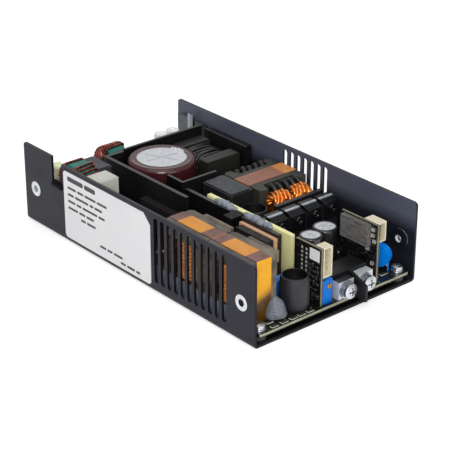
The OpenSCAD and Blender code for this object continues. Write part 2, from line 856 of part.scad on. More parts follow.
// Film on the floor with one flap turned up along the far wall
module insulating_film() {
  flap_x = primary_x - fit_flap_l - part_gap;
  color(film_black) difference() {
    union() {
      block([board_rear, -board_half_w, sheet_t],
            [board_front - board_rear, board_half_w + flap_y, film_t]);
      block([flap_x, flap_y, sheet_t], [fit_flap_l, film_t, flap_h]);
    }
    for (p = board_holes) translate([p[0], p[1], 0]) cylinder(d = standoff_d + 1, h = board_z);
  }
}

module board_standoffs() {
  color(zinc) for (p = board_holes) translate([p[0], p[1], 0]) difference() {
    union() {
      cylinder(d = standoff_d - 2 - 2 * slip_gap, h = sheet_t);
      translate([0, 0, sheet_t]) cylinder(d = standoff_d, h = standoff_h);
    }
    translate([0, 0, -part_gap]) cylinder(d = board_screw_d, h = board_z + 2 * part_gap);
  }
}

module main_board() {
  notch_x = terminal_x - 2;
  color("#22251f") difference() {
    translate([board_rear, -board_half_w, board_z]) linear_extrude(board_t)
      round_rect(board_front - board_rear, 2 * board_half_w, 1);
    for (p = board_holes) translate([p[0], p[1], board_z - part_gap])
      cylinder(d = board_screw_d + 0.4, h = board_t + 2 * part_gap);
    block([notch_x, barrier_y - seat_gap, board_z - part_gap],
          [board_front - notch_x + part_gap, barrier_t + 2 * seat_gap, board_t + 2 * part_gap]);
  }
}

// Pan head screw with its captive flat and spring washers, head up, seat at the origin
module pan_screw(thread_d, head_d, washer_d, grip) {
  flat_t = thread_d * 0.16;
  spring_t = thread_d * 0.25;
  head_h = thread_d * 0.7;
  slot_t = thread_d * 0.18;
  translate([0, 0, -grip]) cylinder(d = thread_d - 2 * slip_gap, h = grip + flat_t + spring_t);
  cylinder(d = washer_d, h = flat_t);
  translate([0, 0, flat_t]) cylinder(d = (washer_d + head_d) / 2, h = spring_t);
  translate([0, 0, flat_t + spring_t]) difference() {
    intersection() {
      cylinder(d = head_d, h = head_h);
      translate([0, 0, head_h - head_d]) sphere(head_d);
    }
    for (turn = [0, 90]) rotate(turn)
      translate([-head_d * 0.28, -slot_t / 2, head_h * 0.4]) cube([head_d * 0.56, slot_t, head_h]);
  }
}

module board_screws() {
  color(zinc) for (p = board_holes) translate([p[0], p[1], top_z])
    pan_screw(board_screw_d, board_screw_head_d, board_washer_d, board_t + standoff_h);
}

// Input header: a base with a latch wall behind the pins
module inlet_header() {
  wall = 1.4;
  y0 = inlet_mid - fit_inlet_w / 2;
  color("#f2f2ee") difference() {
    union() {
      block([inlet_x, y0, top_z], [fit_inlet_d, fit_inlet_w, inlet_base_h]);
      block([inlet_x + fit_inlet_d - wall, y0, top_z], [wall, fit_inlet_w, inlet_h]);
    }
    for (i = [-1 : 1])
      translate([inlet_x + fit_inlet_d / 2, inlet_mid + i * fit_inlet_pin_pitch, top_z - part_gap])
        cylinder(d = inlet_pin_d * 1.5, h = inlet_base_h + 2 * part_gap);
  }
}

module inlet_pins() {
  color(zinc) for (i = [-1 : 1])
    block([inlet_x + fit_inlet_d / 2 - inlet_pin_d / 2,
           inlet_mid + i * fit_inlet_pin_pitch - inlet_pin_d / 2, top_z],
          [inlet_pin_d, inlet_pin_d, inlet_h - 2]);
}

// Upright fuse: a tube between two end caps
module fuse() {
  cap_h = fuse_h * 0.18;
  cylinder(d = fit_fuse_d, h = cap_h);
  translate([0, 0, cap_h]) cylinder(d = fit_fuse_d - 0.8, h = fuse_h - 2 * cap_h);
  translate([0, 0, fuse_h - cap_h]) difference() {
    cylinder(d = fit_fuse_d, h = cap_h);
    translate([0, 0, cap_h - 0.5]) cylinder(d = fit_fuse_d - 2, h = 1);
  }
}

module line_fuses() {
  color("#f4f4f0") for (i = [0, 1]) translate([fuse_x, fuse_row + i * fit_fuse_pitch, top_z]) fuse();
}

module line_capacitor() {
  color("#ece8b0") potted_box([line_cap_x, line_cap_y, top_z],
                              [fit_line_cap_l, fit_line_cap_w, line_cap_h], 0.8, 0.6);
}

module filter_capacitor() {
  color("#c9c8bc") potted_box([filter_cap_x, filter_cap_y, top_z],
                              [fit_filter_cap_l, fit_filter_cap_w, filter_cap_h], 0.8, 0.6);
}

// Ring core on the Z axis, centred
module ring_core() {
  edge_r = 1;
  rotate_extrude() translate([fit_ring_id / 2, -fit_ring_t / 2])
    round_rect((fit_ring_od - fit_ring_id) / 2, fit_ring_t, edge_r);
}

// One turn of wire round the core's section
module ring_turn() {
  section_w = (fit_ring_od - fit_ring_id) / 2;
  over = fit_ring_wire + slip_gap;
  translate([fit_ring_id / 2, fit_ring_wire / 2, 0])
    rotate([90, 0, 0]) linear_extrude(fit_ring_wire) difference() {
      translate([-over, -fit_ring_t / 2 - over])
        round_rect(section_w + 2 * over, fit_ring_t + 2 * over, 1.4);
      translate([-slip_gap, -fit_ring_t / 2 - slip_gap])
        round_rect(section_w + 2 * slip_gap, fit_ring_t + 2 * slip_gap, 0.6);
    }
}

// Two separate windings, with a bare gap at the top and the bottom
module ring_winding() {
  for (side = [0, 180], i = [0 : ring_turns - 1])
    rotate(side + (i - (ring_turns - 1) / 2) * ring_turn_angle) ring_turn();
}

// Stands a ring on its rim, facing the label wall, with its bare gap turned from the top
module near_ring_place() {
  translate([near_choke_x, near_choke_y, near_ring_z])
    rotate([90, 0, 0]) rotate(near_gap_turn) children();
}

module rear_ring_place() {
  translate([rear_choke_x, rear_choke_y, rear_ring_z])
    rotate([90, 0, 0]) rotate(rear_gap_turn) children();
}

// Plastic cradle with a scoop for the wound ring
module cradle(lift) {
  l = 2 * ring_r + seat_gap;
  w = ring_depth - part_gap;
  difference() {
    translate([-l / 2, -w / 2, 0]) linear_extrude(lift + cradle_rise) round_rect(l, w, 0.6);
    translate([0, w, lift + ring_r]) rotate([90, 0, 0]) cylinder(r = ring_r + slip_gap, h = 2 * w);
  }
}

module near_choke_core() {
  color("#1f7a6c") near_ring_place() ring_core();
}

module near_choke_winding() {
  color("#8a3a24") near_ring_place() ring_winding();
}

module near_choke_cradle() {
  color(plate_black) translate([near_choke_x, near_choke_y, top_z]) cradle(near_ring_lift);
}

module rear_choke_core() {
  color("#1f7a6c") rear_ring_place() ring_core();
}

module rear_choke_winding() {
  color("#8a3a24") rear_ring_place() ring_winding();
}

module rear_choke_cradle() {
  color(plate_black) translate([rear_choke_x, rear_choke_y, top_z]) cradle(rear_ring_lift);
}

module relay() {
  color("#3c3d42") potted_box([relay_x, relay_y, top_z], [fit_relay_l, fit_relay_w, relay_h], 0.8, 0.5);
}

// Cooling plate folded round the corner behind the bulk capacitor
module left_cooling_plate() {
  color(plate_black) translate([0, 0, top_z]) linear_extrude(left_plate_h) {
    translate([primary_x, left_plate_y0]) square([fit_left_plate_l, plate_t]);
    translate([primary_x, left_plate_y0]) square([plate_t, fit_left_plate_fold]);
  }
}

// Flat package with leads, standing on the board against a plate, facing +Y
module flat_package(w, t, h, lead, lead_n) {
  lead_w = 1;
  lead_t = 0.6;
  hole_d = 3.2;
  difference() {
    block([-w / 2, 0, lead], [w, t, h]);
    translate([0, t - 0.6, lead + h - hole_d]) rotate([-90, 0, 0]) cylinder(d = hole_d, h = t);
  }
  for (i = [0 : lead_n - 1])
    block([(i - (lead_n - 1) / 2) * w * 0.25 - lead_w / 2, t * 0.4, 0], [lead_w, lead_t, lead]);
}

module bridge_rectifier() {
  body_w = 25;
  body_t = 4.2;
  body_h = 15;
  x = primary_x + fit_left_plate_l * 0.72;
  color(plate_black) translate([x, left_plate_y0, top_z]) mirror([0, 1, 0])
    flat_package(body_w, body_t, body_h, lead_h, 4);
}

module rear_partition() {
  y0 = left_plate_y0 + fit_left_plate_fold + partition_gap;
  color(film_black) block([rear_partition_x, y0, top_z],
                          [partition_t, far_bar_y - part_gap - y0, rear_partition_h]);
}

// Bar with a channelled top edge and two cooling grooves
module far_cooling_bar() {
  groove = 0.8;
  color(plate_black) difference() {
    block([far_bar_x, far_bar_y, top_z], [fit_far_bar_l, fit_far_bar_w, far_bar_h]);
    for (k = [0.35, 0.7])
      block([far_bar_x - part_gap, far_bar_y + fit_far_bar_w * k, top_z + far_bar_h - 3],
            [fit_far_bar_l + 2 * part_gap, groove, 4]);
  }
}

module boost_transistors() {
  body_t = 1.4;
  color(plate_black) for (k = [0.28, 0.72])
    translate([far_bar_x + fit_far_bar_l * k, far_bar_y, top_z]) mirror([0, 1, 0])
      flat_package(fit_transistor_w, body_t, transistor_h, lead_h, 3);
}

// Profile of a can with a round shoulder, right half
module can_profile(r, h, shoulder) {
  square([r, h - shoulder]);
  square([r - shoulder, h]);
  translate([r - shoulder, h - shoulder]) circle(shoulder);
}

module half_plane(h) {
  translate([0, -h]) square([4 * h, 3 * h]);
}

// Aluminium can with a scored vent cross
module can(d, h, shoulder, bare_d) {
  r = d / 2 - sleeve_t - slip_gap;
  depth = 0.35;
  difference() {
    rotate_extrude() intersection() {
      can_profile(r, h - sleeve_t - slip_gap, shoulder - sleeve_t - slip_gap);
      half_plane(h);
    }
    for (turn = [0, 60, 120]) rotate(turn)
      translate([-bare_d * 0.36, -score_w / 2, h - sleeve_t - slip_gap - depth])
        cube([bare_d * 0.72, score_w, 1]);
  }
}

// Shrunk sleeve that turns over the can's shoulder
module sleeve(d, h, shoulder, bare_d) {
  rotate_extrude() intersection() {
    difference() {
      can_profile(d / 2, h, shoulder);
      can_profile(d / 2 - sleeve_t, h - sleeve_t, shoulder - sleeve_t);
      square([bare_d / 2, 2 * h]);
    }
    half_plane(h);
  }
}

module bulk_capacitor_can() {
  color("#d4d6d8") translate([bulk_x, bulk_y, top_z]) rotate(25)
    can(fit_bulk_d, bulk_h, bulk_shoulder_r, fit_bulk_bare_d);
}

module bulk_capacitor_sleeve() {
  color("#4a2426") translate([bulk_x, bulk_y, top_z])
    sleeve(fit_bulk_d, bulk_h, bulk_shoulder_r, fit_bulk_bare_d);
}

// Core with two end blocks on a round middle leg
module boost_choke_core() {
  window = fit_boost_l - 2 * fit_boost_end_t;
  color(ferrite_grey) translate([boost_x, boost_y, top_z]) {
    for (x = [0, fit_boost_l - fit_boost_end_t])
      translate([x, 0, 0]) along_x(0, fit_boost_end_t) round_rect(fit_boost_w, boost_h, 0.8);
    translate([fit_boost_end_t, fit_boost_w / 2, boost_h / 2]) rotate([0, 90, 0])
      cylinder(d = fit_boost_leg_d, h = window);
  }
}

// Winding profile: a sleeve with one round ridge for each turn, right half
module wound_profile(inner_r, outer_r, length, wire) {
  turns = floor((length - 2 * slip_gap) / wire);
  pitch = (length - 2 * slip_gap - wire) / max(turns - 1, 1);
  translate([inner_r, 0]) square([outer_r - wire / 2 - inner_r, length]);
  for (i = [0 : turns - 1])
    translate([outer_r - wire / 2, slip_gap + wire / 2 + i * pitch]) circle(wire / 2);
}

module boost_choke_winding() {
  inner_r = fit_boost_leg_d / 2 + slip_gap;
  window = fit_boost_l - 2 * fit_boost_end_t;
  color("#24211f") translate([boost_x + fit_boost_end_t, boost_y + fit_boost_w / 2, boost_z])
    rotate([0, 90, 0]) rotate_extrude()
      wound_profile(inner_r, inner_r + fit_boost_build, window, boost_wire);
}

// L-shaped divider between the bulk capacitor and the bridge stage
module divider_plate() {
  x0 = bulk_x + bulk_r + 0.6;
  color(film_black) translate([0, 0, top_z]) linear_extrude(divider_h) {
    translate([x0, divider_y]) square([divider_x + partition_t - x0, partition_t]);
    translate([divider_x, divider_y]) square([partition_t, divider_end_y - divider_y]);
  }
}

module resonant_choke() {
  color("#3a3b3e") potted_box([resonant_x, resonant_y, top_z],
                              [fit_resonant_l, fit_resonant_w, resonant_h], 1.2, 0.7);
}

// Closed core: two yokes, two end legs along the length and a round middle leg
module closed_core(l, w, h, leg, yoke, post_d) {
  chamfer = 1.4;
  linear_extrude(yoke) core_plate(l, w, chamfer);
  translate([0, 0, h - yoke]) linear_extrude(yoke) core_plate(l, w, chamfer);
  translate([0, 0, yoke]) linear_extrude(h - 2 * yoke) intersection() {
    core_plate(l, w, chamfer);
    union() {
      translate([-l / 2, -w / 2]) square([leg, w]);
      translate([l / 2 - leg, -w / 2]) square([leg, w]);
    }
  }
  translate([0, 0, yoke]) cylinder(d = post_d, h = h - 2 * yoke);
}

module core_plate(l, w, c) {
  polygon([
    [-l / 2 + c, -w / 2], [l / 2 - c, -w / 2], [l / 2, -w / 2 + c], [l / 2, w / 2 - c],
    [l / 2 - c, w / 2], [-l / 2 + c, w / 2], [-l / 2, w / 2 - c], [-l / 2, -w / 2 + c]
  ]);
}

// Tape round a core, over its top, its two ends and its underside
module core_tape(l, h, tape_w) {
  translate([0, -tape_w / 2, 0]) difference() {
    block([-l / 2 - tape_t, 0, -tape_t], [l + 2 * tape_t, tape_w, h + 2 * tape_t]);
    block([-l / 2, -part_gap, 0], [l, tape_w + 2 * part_gap, h]);
  }
}

module trafo_place() {
  translate([trafo_x + fit_trafo_l / 2, trafo_y + fit_trafo_w / 2, trafo_z]) rotate(90) children();
}

// Core with a waist in both long sides, where the winding shows
module transformer_core() {
  waist_w = fit_trafo_coil_w - 1;
  flare = 1.6;
  color(ferrite_grey) trafo_place() difference() {
    closed_core(fit_trafo_w, fit_trafo_l, trafo_h, fit_trafo_leg, trafo_yoke, fit_trafo_post_d);
    for (turn = [0, 180]) rotate(turn) translate([0, fit_trafo_l / 2, -part_gap])
      linear_extrude(trafo_h + 2 * part_gap) polygon([
        [-waist_w / 2 - flare, part_gap], [-waist_w / 2, -fit_trafo_waist],
        [waist_w / 2, -fit_trafo_waist], [waist_w / 2 + flare, part_gap]
      ]);
  }
}

module transformer_tape() {
  color("#a8603a") trafo_place() core_tape(fit_trafo_w, trafo_h, fit_trafo_tape_w);
}

// Oval outline, long across the transformer's end legs
module oval(l, w) {
  translate([-w / 2, -l / 2 + w / 2]) square([w, l - w]);
  for (side = [-1, 1]) translate([0, side * (l / 2 - w / 2)]) circle(w / 2);
}

trafo_window = trafo_h - 2 * trafo_yoke;
bundle_out = fit_bundle_d * 0.7;
rail_gap = along(0.8);
rail_t = along(2.4);
trafo_coil_l = fit_trafo_l + 2 * fit_trafo_coil_over;

// Bobbin with a flange above and below the coil and a rail in front of the wire bundles
module transformer_bobbin() {
  flange_z = trafo_window - bobbin_t;
  rail_y = -trafo_coil_l / 2 - bundle_out - rail_gap - rail_t;
  rail_l = fit_trafo_w;
  arm_t = 1;
  color(plate_black) trafo_place() translate([0, 0, trafo_yoke]) difference() {
    union() {
      for (z = [0, flange_z]) translate([0, 0, z])
        linear_extrude(bobbin_t) oval(trafo_coil_l, fit_trafo_coil_w);
      cylinder(d = fit_trafo_post_d + 2 * bobbin_t, h = trafo_window);
      block([-rail_l / 2, rail_y, trafo_window - bobbin_rail_h + 1], [rail_l, rail_t, bobbin_rail_h]);
      for (side = [-1, 1])
        block([side * fit_bundle_pitch - arm_t / 2, rail_y, flange_z],
              [arm_t, fit_trafo_waist + bundle_out + rail_gap + rail_t, bobbin_t]);
    }
    translate([0, 0, -part_gap])
      cylinder(d = fit_trafo_post_d + 2 * slip_gap, h = trafo_window + 2 * part_gap);
  }
}

module transformer_winding() {
  coil_h = trafo_window - 2 * bobbin_t;
  layer_n = 5;
  layer_h = coil_h / layer_n;
  bundle_y = -trafo_coil_l / 2 + fit_bundle_d / 2 - bundle_out;
  color(copper_orange) trafo_place() translate([0, 0, trafo_yoke + bobbin_t]) difference() {
    union() {
      for (i = [0 : layer_n - 1]) translate([0, 0, i * layer_h])
        linear_extrude(layer_h)
          oval(trafo_coil_l - 1 - (i % 2) * 0.6, fit_trafo_coil_w - 1 - (i % 2) * 0.6);
      for (i = [0 : bundle_n - 1])
        translate([(i - (bundle_n - 1) / 2) * fit_bundle_pitch, bundle_y, fit_bundle_d / 2]) {
          cylinder(d = fit_bundle_d, h = coil_h - fit_bundle_d);
          sphere(d = fit_bundle_d);
          translate([0, 0, coil_h - fit_bundle_d]) sphere(d = fit_bundle_d);
        }
    }
    translate([0, 0, -part_gap])
      cylinder(d = fit_trafo_post_d + 2 * bobbin_t + 2 * slip_gap, h = coil_h + 2 * part_gap);
  }
}

module bridge_cooling_plate() {
  color(plate_black) block([bridge_plate_x, bridge_plate_y, top_z],
                           [fit_bridge_plate_l, plate_t, bridge_plate_h]);
}

module isolation_board() {
  color(laminate_yellow) block([isolation_x, isolation_y, top_z],
                               [fit_isolation_l, isolation_t, isolation_h]);
}

module insulating_pad() {
  color("#c9a184") block([pad_x, bridge_plate_y - fit_pad_t, top_z], [fit_pad_l, fit_pad_t, pad_h]);
}

module bridge_module() {
  lead = pad_h - module_h - 0.6;
  lead_n = 6;
  lead_w = 1;
  lead_t = 0.6;
  color(plate_black) translate([module_x, bridge_plate_y - fit_pad_t - fit_module_t, top_z]) {
    block([0, 0, lead], [fit_module_l, fit_module_t, module_h]);
    for (i = [0 : lead_n - 1])
      block([(i + 0.5) * fit_module_l / lead_n - lead_w / 2, fit_module_t * 0.4, 0],
            [lead_w, lead_t, lead]);
  }
}

// Black spring clip that hooks over the bridge cooling plate beside the module
module hold_clip() {
  x0 = pad_x - part_gap - fit_hold_clip_w;
  reach = fit_pad_t + fit_module_t;
  drop = 9;
  color(plate_black) along_x(x0, fit_hold_clip_w) translate([bridge_plate_y, top_z + bridge_plate_h]) {
    translate([-reach, 0]) square([reach + plate_t + clip_t, clip_t]);
    translate([plate_t, -drop]) square([clip_t, drop]);
    polygon([[-reach, clip_t], [-reach - 1, -drop * 0.6], [-reach + 1, -drop],
             [-reach + 1 + clip_t, -drop], [-reach - 1 + clip_t, -drop * 0.6], [-reach + clip_t, clip_t]]);
  }
}

// Sets a piece of both taped chokes in its place
module taped_places() {
  for (x0 = [rear_taped_x, front_taped_x])
    translate([x0 + fit_taped_l / 2, taped_y + fit_taped_w / 2, top_z + tape_t]) children();
}

// Core with a ledge along the far side of both yokes
module taped_cores() {
  ledge_l = fit_taped_l * 0.64;
  color(ferrite_grey) taped_places() {
    closed_core(fit_taped_l, fit_taped_w, taped_h, fit_taped_leg, taped_yoke, fit_taped_post_d);
    for (z = [0, taped_h - taped_yoke])
      block([-fit_taped_l * 0.22, fit_taped_w / 2, z], [ledge_l, fit_taped_ledge, taped_yoke]);
  }
}

module taped_coils() {
  color(copper_orange) taped_places() translate([0, 0, taped_yoke]) rotate_extrude()
    wound_profile(fit_taped_post_d / 2 + slip_gap, fit_taped_coil_d / 2,
                  taped_h - 2 * taped_yoke, taped_wire);
}

module taped_bands() {
  color(tape_orange) taped_places() core_tape(fit_taped_l, taped_h, fit_taped_tape_w);
}

module rectifier_cooling_plate() {
  color(plate_black) block([rectifier_x, rectifier_y, top_z], [plate_t, fit_rectifier_w, rectifier_h]);
}

module rectifier_row() {
  middle = rectifier_y + fit_rectifier_w / 2;
  for (i = [0 : rectifier_n - 1])
    translate([rectifier_x, middle + (i - (rectifier_n - 1) / 2) * fit_rectifier_pitch, top_z])
      children();
}

module rectifier_transistors() {
  color(plate_black) rectifier_row() translate([plate_t, 0, 0]) rotate(-90)
    flat_package(fit_transistor_w, fit_transistor_t, transistor_h, lead_h, 3);
}

// Spring clip over the plate's edge, pressing on the transistor
module rectifier_clips() {
  back_h = 6;
  front_h = rectifier_h - lead_h - transistor_h * 0.5;
  span = plate_t + fit_transistor_t;
  knee = plate_t + 0.6;
  drop = 1.8;
  color(zinc) rectifier_row() along_y(-fit_clip_w / 2, fit_clip_w) translate([0, rectifier_h])
    polygon([
      [-clip_t, -back_h], [0, -back_h], [0, 0], [knee, 0], [span, -drop], [span, -front_h],
      [span + clip_t, -front_h], [span + clip_t, -drop + clip_t * 0.6], [knee + clip_t * 0.4, clip_t],
      [-clip_t, clip_t]
    ]);
}

module output_places() {
  translate([far_cap_x, far_cap_y, top_z]) children(0);
  translate([near_cap_x, near_cap_mid, top_z]) children(1);
}

cap_shoulder_r = 1.2;

module output_capacitor_cans() {
  color("#d4d6d8") output_places() {
    can(fit_far_cap_d, far_cap_h, cap_shoulder_r, fit_far_cap_d * 0.8);
    can(fit_near_cap_d, near_cap_h, cap_shoulder_r, fit_near_cap_d * 0.8);
  }
}

module output_capacitor_sleeves() {
  color("#17181b") output_places() {
    sleeve(fit_far_cap_d, far_cap_h, cap_shoulder_r, fit_far_cap_d * 0.8);
    sleeve(fit_near_cap_d, near_cap_h, cap_shoulder_r, fit_near_cap_d * 0.8);
  }
}

// Drum choke in a shrunk sleeve: narrow ends, full waist and a hollow top
module drum(h) {
  r = drum_r;
  lip_r = r * 0.9;
  shoulder_h = h * 0.22;
  difference() {
    rotate_extrude() {
      polygon([[0, 0], [r * 0.88, 0], [r * 0.97, shoulder_h * 0.4], [r, shoulder_h],
               [r, h - shoulder_h], [r * 0.97, h - shoulder_h * 0.5], [lip_r, h], [0, h]]);
    }
    translate([0, 0, h - drum_hollow]) cylinder(r = lip_r - drum_lip, h = drum_hollow + part_gap);
  }
}

module drum_chokes() {
  color("#26272a") {
    translate([front_drum_x, front_drum_y, top_z]) drum(front_drum_h);
    translate([middle_drum_x, middle_drum_y, top_z]) drum(middle_drum_h);
  }
}

module control_board() {
  color("#15171a") block([control_x, control_y0, top_z], [fit_control_l, upright_t, control_h]);
}

// Shrouded header with its socket open towards the output end
module header(l, w, h) {
  depth = min(fit_socket_depth, l - 1);
  difference() {
    cube([l, w, h]);
    translate([l - depth, header_wall, header_wall])
      cube([depth + part_gap, w - 2 * header_wall, h - 2 * header_wall]);
  }
}

module control_header() {
  x0 = upright_front - fit_control_header_l;
  color(ivory) translate([x0, control_face, top_z + control_h - control_header_h])
    header(fit_control_header_l, fit_control_header_w, control_header_h);
}

// Trimmer with a boss-free face and a blind bore for its screw
module trimmer_body() {
  bore = trim_screw_l - seat_gap;
  color("#1668c4") difference() {
    translate([trimmer_x - fit_trimmer_d, trimmer_y, top_z]) linear_extrude(trimmer_h)
      round_rect(fit_trimmer_d, fit_trimmer_w, 0.3);
    translate([trimmer_x - bore, trim_axis_y, trim_axis_z]) rotate([0, 90, 0])
      cylinder(d = trim_screw_d + 2 * slip_gap, h = bore + part_gap);
  }
}

module trimmer_screw() {
  slot_t = 0.45;
  slot_depth = 0.6;
  color("#c08a4a") translate([trimmer_x - trim_screw_l + seat_gap + slip_gap, trim_axis_y, trim_axis_z])
    rotate([0, 90, 0]) difference() {
      cylinder(d = trim_screw_d, h = trim_screw_l);
      translate([-trim_screw_d, -slot_t / 2, trim_screw_l - slot_depth])
        cube([2 * trim_screw_d, slot_t, 1]);
    }
}

module auxiliary_board() {
  color("#15171a") block([aux_x, fit_aux_y, top_z], [fit_aux_l, upright_t, aux_h]);
}

module gap_pad() {
  z0 = top_z + aux_h - gap_pad_h - 0.6;
  color("#6c6b6a") block([aux_x + gap_pad_inset, fit_aux_y - fit_gap_pad_t, z0],
                         [fit_gap_pad_l, fit_gap_pad_t, gap_pad_h]);
}

module auxiliary_header() {
  x0 = upright_front - aux_header_inset - fit_aux_header_l;
  color(ivory) translate([x0, aux_face, top_z + aux_h - aux_header_h])
    header(fit_aux_header_l, fit_aux_header_w, aux_header_h);
}

// Moulded carrier behind the terminals with the barrier between them
module terminal_carrier() {
  reach = front_x + barrier_reach;
  slope = 2.5;
  color(plate_black) {
    block([carrier_x, carrier_y, top_z], [fit_carrier_d - seat_gap, carrier_w, carrier_h]);
    along_y(barrier_y, barrier_t) polygon([
      [terminal_x - seat_gap - 1, top_z], [terminal_x - seat_gap - 1, top_z + carrier_h],
      [terminal_x + 1, top_z + carrier_h], [reach, top_z + terminal_h - slope],
      [reach, board_z], [terminal_x, board_z], [terminal_x, top_z]
    ]);
  }
}

module terminal_blocks() {
  color(zinc) for (y = terminal_ys) difference() {
    block([terminal_x, y - fit_terminal_w / 2, top_z], [fit_terminal_d, fit_terminal_w, terminal_h]);
    translate([terminal_x - part_gap, y, terminal_z]) rotate([0, 90, 0])
      cylinder(d = fit_terminal_screw_d, h = fit_terminal_d + 2 * part_gap);
  }
}

module terminal_screws() {
  color(zinc) for (y = terminal_ys) translate([terminal_x + fit_terminal_d, y, terminal_z])
    rotate([0, 90, 0])
      pan_screw(fit_terminal_screw_d, fit_terminal_head_d, fit_terminal_washer_d, fit_terminal_d);
}

// Disc capacitor standing on two leads
module disc_capacitor(d, t) {
  lead_d = 0.8;
  lead_gap = d * 0.4;
  translate([0, t / 2, disc_lift + d / 2]) rotate([90, 0, 0]) cylinder(d = d, h = t);
  for (side = [-1, 1]) translate([side * lead_gap, 0, 0]) cylinder(d = lead_d, h = disc_lift + d / 2);
}

module suppressor_capacitors() {
  color("#1f78d0") {
    translate([disc_x, disc_y, top_z]) rotate(20) disc_capacitor(fit_disc_d, fit_disc_t);
    translate([small_disc_x, small_disc_y, top_z]) rotate(90)
      disc_capacitor(fit_small_disc_d, fit_disc_t * 0.8);
  }
}

channel();
side_nuts();
rating_label();
insulating_film();
board_standoffs();
main_board();
board_screws();
inlet_header();
inlet_pins();
line_fuses();
line_capacitor();
filter_capacitor();
relay();
near_choke_core();
near_choke_winding();
near_choke_cradle();
rear_choke_core();
rear_choke_winding();
rear_choke_cradle();
left_cooling_plate();
bridge_rectifier();
rear_partition();
far_cooling_bar();
boost_transistors();
bulk_capacitor_can();
bulk_capacitor_sleeve();
boost_choke_core();
boost_choke_winding();
divider_plate();
resonant_choke();
transformer_core();
transformer_bobbin();
transformer_winding();
transformer_tape();
bridge_cooling_plate();
isolation_board();
insulating_pad();
bridge_module();
hold_clip();
taped_cores();
taped_coils();
taped_bands();
rectifier_cooling_plate();
rectifier_transistors();
rectifier_clips();
output_capacitor_cans();
output_capacitor_sleeves();
drum_chokes();
control_board();
control_header();
trimmer_body();
trimmer_screw();
auxiliary_board();
gap_pad();
auxiliary_header();
terminal_carrier();
terminal_blocks();
terminal_screws();
suppressor_capacitors();
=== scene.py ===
import math

import bpy
from mathutils import Matrix, Vector


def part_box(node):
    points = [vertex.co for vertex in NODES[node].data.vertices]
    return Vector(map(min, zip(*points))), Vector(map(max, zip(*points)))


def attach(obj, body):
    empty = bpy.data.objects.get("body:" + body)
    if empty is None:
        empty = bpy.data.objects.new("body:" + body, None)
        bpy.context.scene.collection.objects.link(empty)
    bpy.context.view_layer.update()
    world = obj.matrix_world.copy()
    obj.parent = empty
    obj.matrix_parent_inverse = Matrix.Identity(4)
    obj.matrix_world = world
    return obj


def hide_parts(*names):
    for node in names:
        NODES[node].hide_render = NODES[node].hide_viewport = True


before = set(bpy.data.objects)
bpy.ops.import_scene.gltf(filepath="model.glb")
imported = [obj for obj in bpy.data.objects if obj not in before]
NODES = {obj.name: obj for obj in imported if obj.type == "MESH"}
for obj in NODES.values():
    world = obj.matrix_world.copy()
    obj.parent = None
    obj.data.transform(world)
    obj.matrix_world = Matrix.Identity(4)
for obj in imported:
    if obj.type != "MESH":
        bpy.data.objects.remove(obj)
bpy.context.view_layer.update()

bl_info = {
    "name": "Open channel power supply",
    "version": (1, 0, 0),
    "blender": (4, 5, 0),
    "location": "3D View > Sidebar > Supply",
    "description": "Finishes and fine pieces of an open power supply in a folded steel channel",
    "category": "Object",
}

MM = 0.001
BODY = "supply"
QUARTER = math.pi / 2
FACING = 0.9        # a face or edge with this much of its direction along an axis looks along it
SINK = 0.02 * MM    # how deep a stuck-on piece goes into what carries it
ROUND = 60          # shading angle of round pieces, in degrees


def ink(red, green, blue):
    """Linear colour of a tint given in steps of 0 to 255."""
    def linear(step):
        level = step / 255
        return level / 12.92 if level <= 0.04045 else ((level + 0.055) / 1.055) ** 2.4
    return (linear(red), linear(green), linear(blue))


def shade(tint, times):
    """The tint made darker or lighter."""
    return tuple(min(level * times, 1.0) for level in tint[:3])


def tint_of(name, note, tint):
    """A colour that the user can change."""
    return bpy.props.FloatVectorProperty(
        name=name, description=note, size=3, subtype="COLOR", min=0, max=1, default=ink(*tint))


def length_of(name, note, size_mm):
    """A length that the user can change."""
    return bpy.props.FloatProperty(
        name=name, description=note, min=0, default=size_mm * MM, unit="LENGTH", precision=5)


def level_of(name, note, level, subtype="NONE"):
    """An angle, a power or a plain number that the user can change."""
    return bpy.props.FloatProperty(name=name, description=note, default=level, subtype=subtype)


